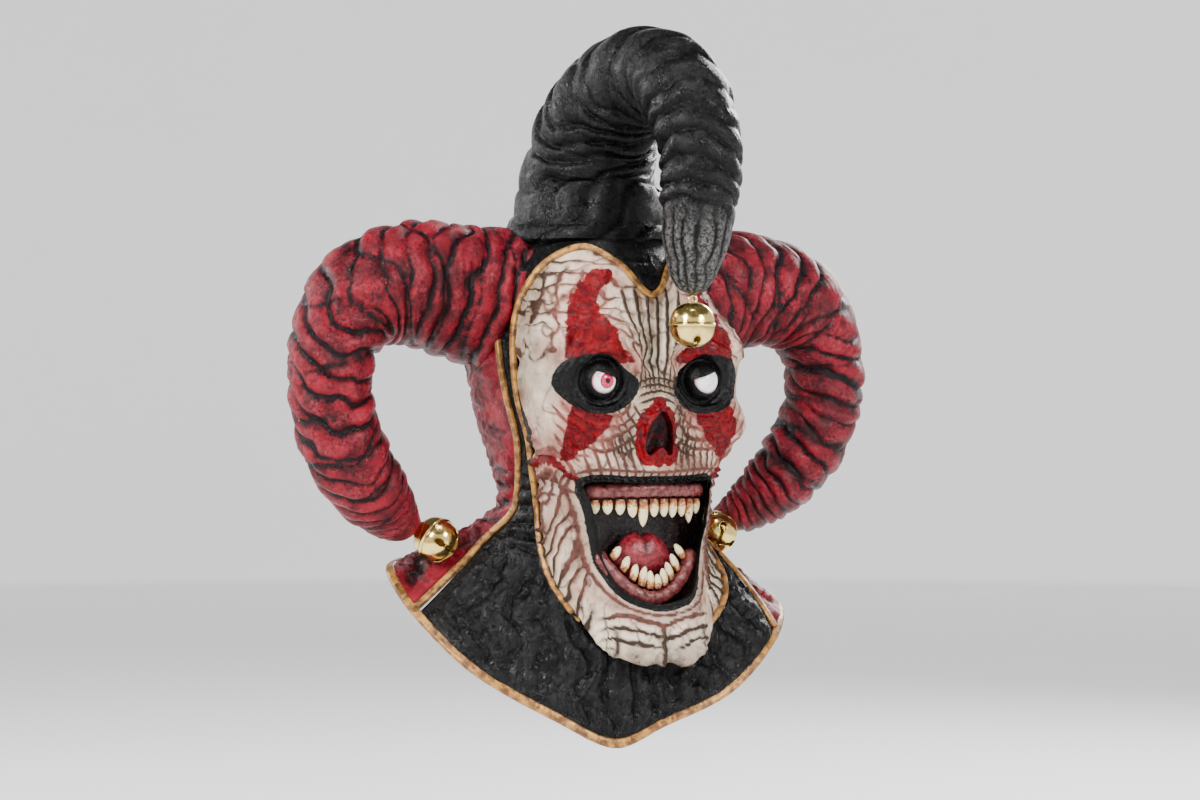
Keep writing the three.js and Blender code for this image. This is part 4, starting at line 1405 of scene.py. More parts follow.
    def wash_and_shade(self, r: Relief, p: FacePlaces) -> None:
        """Lays dark wash and painted shade at the edges and round the holes.

        Args:
            r: The relief so far.
            p: Places on the face.
        """
        h, a, w, wob, lip, nose = p.h, p.a, p.w, p.wob, p.lip, p.nose
        patchy = 0.65 + 0.35 * wob
        r.cover("cavity", patchy * (0.5 * smoothstep(-h, 296.0, 319.0) + 0.5 * smoothstep(w, 74.0, 101.0)))
        r.cover("cavity", 0.5 * patchy * np.exp(-(((signed_distance(self.black, a, h) - 2.0) / 7.0) ** 2)))
        r.cover("cavity", 0.42 * patchy * np.exp(-(((nose - 9.0) / 5.0) ** 2)))
        r.cover("cavity", 0.4 * patchy * band(lip, 7.0, 12.0, 6.0))

    def in_mouth(self, v: Vector) -> bool:
        """Whether a border vertex lies on the mouth's hole."""
        x, z = v.x / MM, v.z / MM
        if abs(x) >= MOUTH_REACH or not MOUTH_SPAN[0] < z < MOUTH_SPAN[1] or v.y >= MOUTH_BACK:
            return False
        return signed_distance(self.mouth, np.array([x]), np.array([z]))[0] < MOUTH_SLACK

    def in_nose(self, v: Vector) -> bool:
        """Whether a border vertex lies on a nostril."""
        return abs(v.x / MM) < NOSE_REACH and NOSE_SPAN[0] < v.z / MM < NOSE_SPAN[1]

    def in_eye(self, v: Vector) -> bool:
        """Whether a border vertex lies on an eye's slit."""
        return self.eye_slit(np.array([v.x / MM]), np.array([v.z / MM]))[0] < EYE_SLACK

    def at_edge(self, v: Vector) -> bool:
        """Whether a border vertex lies on the skin's outer edge."""
        return not (self.in_mouth(v) or self.in_nose(v) or self.in_eye(v))

    def build(self) -> Piece:
        """The skin with rolled lips, lids and nostrils, and its edge drawn back behind the trim.

        Returns:
            The piece.
        """
        patch = Patch(self.columns, self.rows, (-73.0, 73.0), (FACE_TOP - FACE_HEIGHT - 2.0, FACE_TOP + 2.0),
                      face_base, self.relief, self.keep, (0.4, 0.6))
        bm = patch.mesh()
        face_outwards(bm)
        black = (("black", 1.0),)
        # The edge drawn back behind the trim is painted black, as painted shade in the gap.
        rim(bm, self.at_edge, [Vector((0, EDGE_STEP, 0))] * 4, paint=black)
        rim(bm, self.in_mouth, [Vector((0, LIP_STEP, 0))] * 3, paint=black)
        # The nostrils' walls get red paint with painted shade over it.
        rim(bm, self.in_nose, [Vector((0, NOSTRIL_STEP, 0))] * 4, close=True,
            paint=(("red", 1.0), ("cavity", 1.0), ("black", 0.5)))
        rim(bm, self.in_eye, [Vector((0, LID_STEP, 0))] * 2, paint=black)
        return Piece("face_skin", bm, self.skin.material(), "bone_latex", ("face",))


class Hood(Enum):
    """The cowl's two halves."""

    FRONT = "front"
    BACK = "back"


@dataclass
class CowlHalf:
    """Half of the crumpled black hood with its collar, from one side seam to the other."""

    half: Hood
    finish: FoldedFinish
    columns: int = 190
    rows: int = 240

    SEED = 23

    def __post_init__(self) -> None:
        """Draws the crumples' noise."""
        self.noise = Noise(self.SEED)

    def turn_at(self, u: Array, down: Array) -> Array:
        """Turn at a share u of the way from seam to seam.

        Args:
            u: Share of the way.
            down: Share of the way from the crown to the hem.

        Returns:
            Turns in degrees.
        """
        left, right = seam_turn(Side.LEFT, down), seam_turn(Side.RIGHT, down)
        if self.half is Hood.FRONT:
            return left + SEAM_GAP + (right - left - 2 * SEAM_GAP) * u
        return right + SEAM_GAP + (left + 360.0 - right - 2 * SEAM_GAP) * u

    def base(self, u: Array, v: Array) -> Array:
        """Surface point for shares across and down, both from 0 to 100."""
        down = np.clip(v / 100.0, 0.0, 0.999)
        return cowl_base(self.turn_at(u / 100.0, down), down)

    def keep(self, u: Array, v: Array) -> Array:
        """Distance from the face's edge, negative where the face is.

        Args:
            u: Shares across, up to 100.
            v: Shares down, up to 100.

        Returns:
            Distances in mm.
        """
        down = v / 100.0
        turn = self.turn_at(u / 100.0, down)
        z = cowl_base(turn, np.clip(down, 0, 1))[..., 2]
        return signed_distance(FACE_OUTLINE, turn * TURN_MM, FACE_TOP - z) - TRIM_HALF

    def relief(self, u: Array, v: Array, points: Array) -> Relief:
        """Crumples, neck folds and the collar's hanging folds, with painted shade in their valleys and
        painted highlight on their crests.

        Args:
            u: Shares across, up to 100.
            v: Shares down, up to 100.
            points: The places themselves.

        Returns:
            The relief.
        """
        down = v / 100.0
        turn = self.turn_at(u / 100.0, down)
        n = self.noise
        wob = n.rough(points, 34.0)
        r = Relief(1.3 * n.rough(points + 50, 60.0) + 0.3 * n.rough(points, 9.0, 2))
        edge = np.minimum(u, 100.0 - u)
        calm = smoothstep(edge, 0.4, 3.5) * (1.0 - smoothstep(down, 0.965, 0.995))
        head = 1.0 - smoothstep(down, 0.4, 0.52)
        slanted = points[:, 2] + 9.0 * wob + 0.25 * points[:, 0]
        r.fold(slanted / 13.0, 1.7, head * calm * (0.55 + 0.45 * wob), 0.8, 0.5)
        neck = band(down, 0.5, 0.64, 0.06)
        waved = points[:, 2] + 7.0 * wob + 5.0 * np.sin(np.radians(turn * 3))
        r.fold(waved / 11.0, 2.3, neck * calm, 0.8, 0.6)
        collar = smoothstep(down, 0.6, 0.74)
        r.fold(turn / 12.5 + 0.85 * wob, 2.4, collar * calm, 0.85, 0.55)
        r.fold(turn / 5.2 + 1.3 * n.rough(points + 9, 26.0), 1.0, collar * calm, 0.8, 0.35)
        fine = 1.0 - np.abs(n.rough(points + 400, 15.0))
        r.mound(smoothstep(fine, 0.72, 1.0), 0.9)
        # Painted highlight on the crumples' crests.
        r.cover("ridge", smoothstep(fine, 0.8, 1.0) * 0.8)
        r.height = np.clip(r.height * 1.5, -4.0, 4.5) * np.clip(edge / 1.5, 0.25, 1.0)
        r.height = r.height * smoothstep(down, 0.05, 0.13)
        r.height -= CROWN_SINK * (1.0 - smoothstep(down, *CROWN_EDGE))
        return r

    def build(self) -> Piece:
        """The half with its wall.

        Returns:
            The piece.
        """
        front = self.half is Hood.FRONT
        patch = Patch(self.columns, self.rows, (0.0, 100.0), (0.0, 100.0), self.base, self.relief,
                      self.keep if front else None, (0.2, 0.2))
        bm = patch.mesh()
        face_outwards(bm)
        return Piece(f"hood_{self.half.value}", bm, self.finish.material(), self.finish.name,
                     (f"cowl_{self.half.value}",), wall=COWL_WALL)


@dataclass
class Braid:
    """A gold trim of two cords side by side, scored across, laid along a line.

    Args:
        name: Name of the piece.
        node: CAD node that it stands for.
        wide: Width in mm.
        tall: How far it stands up, in mm.
        low: How far it reaches below its line, in mm.
        finish: Finish of the trim.
    """

    name: str
    node: str
    wide: float
    tall: float
    low: float
    finish: GoldFinish

    SECTION = 22
    SEED = 31

    def build(self, at: Array, across: Array, out: Array, closed: bool) -> Piece:
        """The trim along places with their sideways and outward directions.

        Args:
            at: Places of the line in mm.
            across: Sideways directions.
            out: Outward directions.
            closed: Whether the line is a loop.

        Returns:
            The piece.
        """
        count = len(at)
        spans = count if closed else count - 1
        noise = Noise(self.SEED)
        bm = bmesh.new()
        bmesh.ops.create_grid(bm, x_segments=spans, y_segments=self.SECTION, size=0.5)
        flat = np.array([v.co[:2] for v in bm.verts]) + 0.5
        i = np.rint(flat[:, 0] * spans).astype(int) % count
        a = 2 * np.pi * flat[:, 1]
        side, up = np.sign(np.cos(a)) * np.abs(np.cos(a)) ** 0.6, np.sin(a)
        run = np.cumsum(np.linalg.norm(np.roll(at, -1, axis=0) - at, axis=1))
        groove = np.exp(-((side / 0.2) ** 2)) * (up > 0)
        score = folds(run[i] / 4.2 + 0.5 * np.abs(side), 0.5)
        lift = 1.0 - 0.42 * groove - 0.16 * (1.0 - score) * (up > 0)
        lump = 0.25 * noise.rough(at[i] + 3.0 * side[:, None], 14.0)
        h = np.where(up > 0, up * self.tall * lift + lump * up, up * self.low)
        points = at[i] + across[i] * (side * self.wide / 2 * (1.0 + 0.05 * lump))[:, None]
        points = points + out[i] * h[:, None]
        # Painted shade in the groove between the cords, in the scores and on the underside.
        dark = np.maximum(groove, (0.75 * (1.0 - score) ** 2) * (up > 0))
        dark = np.maximum(dark, smoothstep(-up, 0.1, 0.5))
        set_points(bm, points, {"cavity": dark})
        weld(bm)
        if not closed:
            bmesh.ops.holes_fill(bm, edges=[e for e in bm.edges if e.is_boundary], sides=0)
            bmesh.ops.recalc_face_normals(bm, faces=bm.faces[:])
        return Piece(self.name, bm, self.finish.material(), "gold_paint", (self.node,))


@dataclass
class Trims:
    """The braids round the face, down the side seams and along the hem."""

    finish: GoldFinish

    def face(self) -> Piece:
        """The braid round the face.

        Returns:
            The piece.
        """
        loop = smooth_loop(FACE_OUTLINE, 460)
        turn, down = loop[:, 0] / TURN_MM, down_at(loop[:, 0] / TURN_MM, FACE_TOP - loop[:, 1])
        at = cowl_base(turn, down)
        out = cowl_normal(turn, down)
        across = unit(np.cross(np.roll(at, -1, axis=0) - np.roll(at, 1, axis=0), out))
        braid = Braid("braid_face", "face_trim", BEAD_WIDTH, BEAD_HEIGHT, BRAID_LOW, self.finish)
        return braid.build(at, across, out, True)

    def seam(self, side: Side) -> Piece:
        """The braid down one side seam.

        Args:
            side: Which seam.

        Returns:
            The piece.
        """
        down = np.linspace(SEAM_START, SEAM_END, 240)
        turn = seam_turn(side, down)
        at = cowl_base(turn, down)
        out = cowl_normal(turn, down)
        across = unit(np.cross(np.gradient(at, axis=0), out))
        name = side.name.lower()
        braid = Braid(f"braid_seam_{name}", f"seam_trim_{name}", BEAD_WIDTH, BEAD_HEIGHT, BRAID_LOW,
                      self.finish)
        return braid.build(at, across, out, False)

    def hem(self) -> Piece:
        """The braid along the collar's hem.

        Returns:
            The piece.
        """
        turn = np.linspace(-180.0, 180.0, 700, endpoint=False)
        out = cowl_normal(turn, np.ones_like(turn))
        edge = cowl_base(turn, 1.0)
        down = unit(edge - cowl_base(turn, 0.985))
        at = edge - out * COWL_WALL / 2 + down * HEM_DROP
        braid = Braid("braid_hem", "hem_trim", HEM_WIDTH, HEM_HEIGHT, HEM_LOW, self.finish)
        return braid.build(at, down, out, True)


# out, drop, back, thick
SIDE_HORN = (
    (0.2, 0.26, 1, 1.12), (0.44, 0.235, 0.8, 1), (0.68, 0.2, 0.5, 0.88), (0.87, 0.245, 0.2, 0.76),
    (0.98, 0.38, 0.05, 0.62), (0.99, 0.56, 0.1, 0.58), (0.92, 0.73, 0.3, 0.58), (0.81, 0.85, 0.65, 0.52),
    (0.7, 0.93, 1.15, 0.36), (0.6, 0.965, 1.65, 0.1),
)
# forward, rise, aside, thick, and forward, drop, thick for the tip
TOP_HORN = (
    (0, 0.083, 0, 1), (-0.02, 0.2, 0, 0.93), (0.02, 0.46, 0, 0.84), (0.13, 0.74, 0.1, 0.76),
    (0.34, 0.95, 0.3, 0.66), (0.62, 1, 0.6, 0.58), (0.88, 0.82, 0.85, 0.54), (1, 0.5, 1, 0.51),
    (1, 0.14, 1, 0.47),
)
TOP_HORN_TIP = ((0.97, 0.36, 0.39), (0.94, 0.76, 0.28), (0.93, 1, 0.12))
# height in mm, thick, for the foot inside the hood, and where the horn leaves the hood
TOP_HORN_FOOT = ((-21.0, 1.06), (-13.0, 1.2), (-2.0, 1.12))
TOP_HORN_START = 8.3
TOP_HORN_FILL = 1.02


def spline(points: Array, t: Array) -> Array:
    """Places on a centripetal curve through points, for shares from 0 to 1.

    Args:
        points: The points, one row each.
        t: Shares of the way.

    Returns:
        One place for each share.
    """
    p = np.vstack([2 * points[0] - points[1], points, 2 * points[-1] - points[-2]])
    place = np.clip(t, 0, 1) * (len(points) - 1)
    i = np.minimum(place.astype(int), len(points) - 2)
    w = (place - i)[:, None]
    a, b, c, d = p[i], p[i + 1], p[i + 2], p[i + 3]
    ab, bc, cd = (np.sqrt(np.linalg.norm(y - x, axis=1))[:, None] for x, y in ((a, b), (b, c), (c, d)))
    m1 = ((b - a) / ab - (c - a) / (ab + bc) + (c - b) / bc) * bc
    m2 = ((c - b) / bc - (d - b) / (bc + cd) + (d - c) / cd) * bc
    return b + w * m1 + w**2 * (3 * (c - b) - 2 * m1 - m2) + w**3 * (2 * (b - c) + m1 + m2)


@dataclass
class Horn:
    """A stuffed latex horn with slanting, overlapping folds, on a curved line.

    Args:
        name: Which horn.
        line: Points of its middle line in mm.
        thick: Radius at each point in mm.
        plane: Normal of the plane that it mostly curls in.
        finish: Finish of the latex.
        slant: How the folds slant.
        tip_start: Share of the length from which the tip is drawn into lengthwise folds.
        seed: Seed of the folds.
    """

    name: str
    line: Array
    thick: Array
    plane: tuple[float, float, float]
    finish: FoldedFinish
    slant: float
    tip_start: float
    seed: int
    columns: int = 120
    rows: int = 430

    def __post_init__(self) -> None:
        """Measures the middle line."""
        t = np.linspace(0, 1, 1200)
        steps = np.linalg.norm(np.diff(spline(self.line, t), axis=0), axis=1)
        self.length = np.concatenate([[0.0], np.cumsum(steps)])
        self.shares = t

    def tip(self) -> tuple[Array, Array]:
        """The end of the middle line and its direction there."""
        end = spline(self.line, np.array([0.985, 1.0]))
        return end[1], unit(end[1] - end[0])

    def base(self, angle: Array, t: Array) -> Array:
        """Surface point for an angle in degrees and a share along in hundredths.

        Args:
            angle: Angles round the horn.
            t: Shares along, up to 100.

        Returns:
            Places in mm.
        """
        share = np.clip(t / 100.0, 0.0, 1.0)
        at = spline(self.line, share)
        tangent = unit(spline(self.line, share + 0.002) - spline(self.line, share - 0.002))
        side = unit(np.cross(tangent, np.array(self.plane, float)))
        other = np.cross(tangent, side)
        radius = np.interp(share * (len(self.thick) - 1), np.arange(len(self.thick)), self.thick)
        end = np.sqrt(np.clip((100.0 - t) / 1.6, 0.0, 1.0))
        a = np.radians(angle)
        ring = side * np.cos(a)[:, None] + other * np.sin(a)[:, None]
        return at + ring * (radius * end)[:, None]

    def relief(self, angle: Array, t: Array, points: Array) -> Relief:
        """Large slanting rolls, sharp creases between them and fine wrinkles, with painted shade in the
        creases and painted highlight on the rolls.

        Args:
            angle: Angles round the horn.
            t: Shares along, up to 100.
            points: The places themselves.

        Returns:
            The relief.
        """
        n = Noise(self.seed)
        share = np.clip(t / 100.0, 0.0, 1.0)
        s = np.interp(share, self.shares, self.length)
        radius = np.interp(share * (len(self.thick) - 1), np.arange(len(self.thick)), self.thick)
        a = np.radians(angle)
        where = np.stack([np.cos(a) * radius, np.sin(a) * radius, s], -1)
        wob, slow = n.rough(where, 38.0), n.rough(where + 500, 80.0)
        taper = 0.45 + 0.55 * smoothstep(radius, 10.0, 32.0)
        ends = smoothstep(t, 0.0, 3.0) * (1.0 - smoothstep(t, 96.0, 99.5))
        tip = smoothstep(share, self.tip_start, self.tip_start + 0.06)
        body = (1.0 - tip) * ends
        r = Relief(2.2 * slow * ends)
        first = (s + self.slant * radius * np.sin(a + 0.4) + 11.0 * wob) / (12.0 + 6.0 * taper)
        second = (s - 0.75 * self.slant * radius * np.sin(a + 1.9) + 15.0 * slow) / (27.0 + 6.0 * taper)
        for phase, tall, dark in ((first, 4.2, 1.0), (second, 2.0, 0.6)):
            p = phase - np.floor(phase)
            roll = np.where(p < 0.68, p / 0.68, (1.0 - p) / 0.32)
            roll = np.sin(np.pi / 2 * roll) ** 0.8
            uneven = smoothstep(n.rough(where + 900 + 40 * tall, 30.0), -0.7, 0.3)
            strong = body * taper * (0.55 + 0.45 * uneven)
            r.height = r.height + tall * strong * (roll - 0.62)
            # Painted shade in the creases and painted highlight on the crests.
            r.cover("cavity", dark * strong * (1.0 - roll) ** 1.6)
            r.cover("ridge", strong * smoothstep(roll, 0.82, 1.0))
        fine = (s + 0.5 * radius * np.sin(2 * a + 1.0) + 5.0 * n.rough(where + 70, 16.0)) / 5.4
        r.fold(fine, 0.7, body * 0.8 * smoothstep(n.rough(where + 40, 22.0), -0.3, 0.5), 0.8, 0.3)
        pleats = a * 3.5 / np.pi * 2 + 0.35 * n.rough(where + 11, 18.0)
        r.fold(pleats, 2.2 * 0.8, tip * ends * taper, 0.75, 0.8)
        # Pale streaks on the crests of the tip's pleats, partly painted highlight.
        r.cover("streak", 0.9 * tip * folds(pleats, 0.8))
        # Painted shade where the horn leaves the hood.
        r.cover("cavity", 0.9 * (1.0 - smoothstep(t, 0.2, 1.6)))
        return r

    def build(self) -> Piece:
        """The closed skin.

        Returns:
            The piece.
        """
        patch = Patch(self.columns, self.rows, (0.0, 360.0), (0.0, 100.0), self.base, self.relief, None,
                      (0.8, 0.12))
        bm = patch.mesh()
        weld(bm, 3e-5)
        bmesh.ops.holes_fill(bm, edges=[e for e in bm.edges if e.is_boundary], sides=0)
        bmesh.ops.recalc_face_normals(bm, faces=bm.faces[:])
        return Piece(f"horn_skin_{self.name}", bm, self.finish.material(), self.finish.name,
                     (f"horn_{self.name}",), padded=HORN_FILL)


def side_horn(side: Side, finish: FoldedFinish) -> Horn:
    """A side horn that sweeps out and curls under.

    Args:
        side: Which side.
        finish: Finish of the latex.

    Returns:
        The horn.
    """
    rows = np.array(SIDE_HORN)
    line = np.stack([side.value * SIDE_HORN_REACH * rows[:, 0], SIDE_HORN_BACK * rows[:, 2],
                     -SIDE_HORN_DROP * rows[:, 1]], -1)
    plane = (0.0, float(-side.value), 0.0)
    return Horn(side.name.lower(), line, SIDE_HORN_BASE * rows[:, 3], plane, finish, 0.55 * side.value, 0.93,
                41 + side.value)


def top_horn(finish: FoldedFinish) -> Horn:
    """The top horn that rises from the crown and falls forward over the brow.

    Args:
        finish: Finish of the latex.

    Returns:
        The horn.
    """
    rows, tip = np.array(TOP_HORN), np.array(TOP_HORN_TIP)
    line = np.stack([TOP_HORN_ASIDE * rows[:, 2], -TOP_HORN_FORWARD * rows[:, 0],
                     TOP_HORN_RISE * rows[:, 1]], -1)
    line[0, 2] = TOP_HORN_START
    foot = np.array([(0.0, 0.0, z) for z, _ in TOP_HORN_FOOT])
    end = np.stack([np.full(3, TOP_HORN_ASIDE), -TOP_HORN_FORWARD * tip[:, 0],
                    -TOP_HORN_TIP_DROP * tip[:, 1]], -1)
    foot_thick = [share for _, share in TOP_HORN_FOOT]
    thick = np.concatenate([foot_thick, rows[:, 3] * TOP_HORN_FILL, tip[:, 2]]) * TOP_HORN_BASE
    return Horn("top", np.vstack([foot, line, end]), thick, (1.0, 0.0, 0.0), finish, 0.5, 0.78, 47)


@dataclass
class Bell:
    """A jingle bell with a band round its middle, crossed slots and a ball inside."""

    name: str
    centre: Array
    hang: Array
    finish: BrassFinish
    columns: int = 120
    rows: int = 90

    SEED = 5
    BAND_OUT, BAND_TALL = 0.9, 0.055
    SLOT_HALF, SLOT_REACH = 1.25, 11.5
    HOLE_AT, HOLE_RADIUS = 12.0, 2.7
    LOOP_RADIUS, LOOP_WIRE = 3.0, 0.9

    def __post_init__(self) -> None:
        """Sets the bell's own axes, with its loop on top."""
        up = -unit(self.hang)
        first = unit(np.cross(up, np.array([0.3, 1.0, 0.1])))
        self.axes = np.stack([first, np.cross(up, first), up])

    def local(self, turn: Array, rise: Array) -> Array:
        """Point of the shell in the bell's own axes.

        Args:
            turn: Degrees round the bell.
            rise: Degrees above its middle.

        Returns:
            Places in mm.
        """
        a, b = np.radians(turn), np.radians(rise)
        flat = np.cos(b)
        squash = 1.0 + 0.035 * np.sin(2 * b) ** 2
        band_out = self.BAND_OUT * np.exp(-((b / self.BAND_TALL) ** 2))
        r = BELL_RADIUS * squash * 0.965 + band_out * flat
        return np.stack([r * flat * np.cos(a), r * flat * np.sin(a), r * np.sin(b)], -1)

    def base(self, turn: Array, rise: Array) -> Array:
        """Point of the shell in the part's axes."""
        return self.centre + self.local(turn, rise) @ self.axes

    def keep(self, turn: Array, rise: Array) -> Array:
        """Distance to the slots, negative inside them.

        Args:
            turn: Degrees round the bell.
            rise: Degrees above its middle.

        Returns:
            Distances in mm.
        """
        p = self.local(turn, rise)
        x, y, z = np.abs(p[:, 0]), np.abs(p[:, 1]), p[:, 2]
        long, short = np.maximum(x, y), np.minimum(x, y)
        arm = np.maximum(short - self.SLOT_HALF, long - self.SLOT_REACH)
        hole = np.hypot(long - self.HOLE_AT, short) - self.HOLE_RADIUS
        d = np.minimum(arm, hole)
        return np.where(z < 0, d, 5.0)

    def relief(self, turn: Array, rise: Array, points: Array) -> Relief:
        """Dents, and patina beside the band and the slots.

        Args:
            turn: Degrees round the bell.
            rise: Degrees above its middle.
            points: The places themselves.

        Returns:
            The relief.
        """
        r = Relief(0.12 * Noise(self.SEED).rough(points, 9.0))
        b = np.radians(rise)
        r.cover("cavity", 0.75 * np.exp(-(((np.abs(b) - 0.1) / 0.03) ** 2)))
        r.cover("cavity", 0.6 * np.exp(-((self.keep(turn, rise) / 0.7) ** 2)))
        return r

    def build(self) -> Piece:
        """The shell with its wall and its hanging loop.

        Returns:
            The piece.
        """
        patch = Patch(self.columns, self.rows, (0.0, 360.0), (-90.0, 90.0), self.base, self.relief, self.keep,
                      (0.5, 0.5))
        bm = patch.mesh()
        bmesh.ops.remove_doubles(bm, verts=bm.verts[:], dist=8e-6)
        face_outwards(bm, tuple(self.centre))
        shell = bm.faces[:]
        inner = bmesh.ops.duplicate(bm, geom=shell)["geom"]
        inner_faces = [g for g in inner if isinstance(g, bmesh.types.BMFace)]
        middle = Vector(self.centre) * MM
        for v in (g for g in inner if isinstance(g, bmesh.types.BMVert)):
            v.co = middle + (v.co - middle) * (1.0 - BELL_WALL / BELL_RADIUS)
        bmesh.ops.reverse_faces(bm, faces=inner_faces)
        edges = [e for e in bm.edges if e.is_boundary]
        bmesh.ops.bridge_loops(bm, edges=edges)
        self.loop(bm)
        return Piece(f"jingle_{self.name}", bm, self.finish.material(), "brass", (f"bell_{self.name}",))

    def loop(self, bm: bmesh.types.BMesh) -> None:
        """Adds the hanging loop on top.

        Args:
            bm: The bell's mesh.
        """
        major, minor = self.LOOP_RADIUS, self.LOOP_WIRE
        made = bmesh.ops.create_grid(bm, x_segments=28, y_segments=12, size=0.5)["verts"]
        for v in made:
            a, b = 2 * math.pi * (v.co.x + 0.5), 2 * math.pi * (v.co.y + 0.5)
            r = major + minor * math.cos(b)
            rise = BELL_RADIUS + minor + r * math.sin(a)
            local = np.array([r * math.cos(a), minor * math.sin(b), rise])
            v.co = Vector(self.centre + local @ self.axes) * MM
        bmesh.ops.remove_doubles(bm, verts=made, dist=8e-6)


@dataclass(frozen=True)
class Jaw:
    """A row of teeth in its gum, along a bow from the wearer's right to their left."""

    name: str
    half_width: float
    inset: float
    bow: float
    z: float
    dip: float
    tooth_share: float
    sizes: tuple[float, ...]
    down: bool

    def point(self, s: Array) -> Array:
        """Where the gum's edge runs, for s from -1 to 1.

        Args:
            s: Shares along the bow.

        Returns:
            Places in mm.
        """
        s = np.asarray(s, float)
        return np.stack([s * self.half_width, -(MOUTH_FRONT - self.inset) + self.bow * s * s,
                         self.z - self.dip * (1 - s * s)], -1)

    def towards(self, s: Array) -> Array:
        """Direction in which the teeth grow.

        Args:
            s: Shares along the bow.

        Returns:
            Unit vectors.
        """
        s = np.asarray(s, float)
        if self.down:
            return np.stack([0 * s, 0 * s, 0 * s - 1.0], -1)
        return unit(np.stack([-0.75 * s, 0 * s, 1.0 - 0.3 * np.abs(s)], -1))


UPPER = Jaw("upper", 50.0, 10.0, 16.0, -202.35, -1.0, 1.0,
            (0.75, 0.8, 0.85, 1, 1.5, 1, 1, 1.05, 1, 1.35, 0.85), True)
LOWER = Jaw("lower", 36.7, 10.0, 12.0, -237.0, 31.7, 0.88,
            (0.85, 0.9, 0.9, 1.1, 1, 0.8, 0.95, 1, 0.95, 0.9), False)


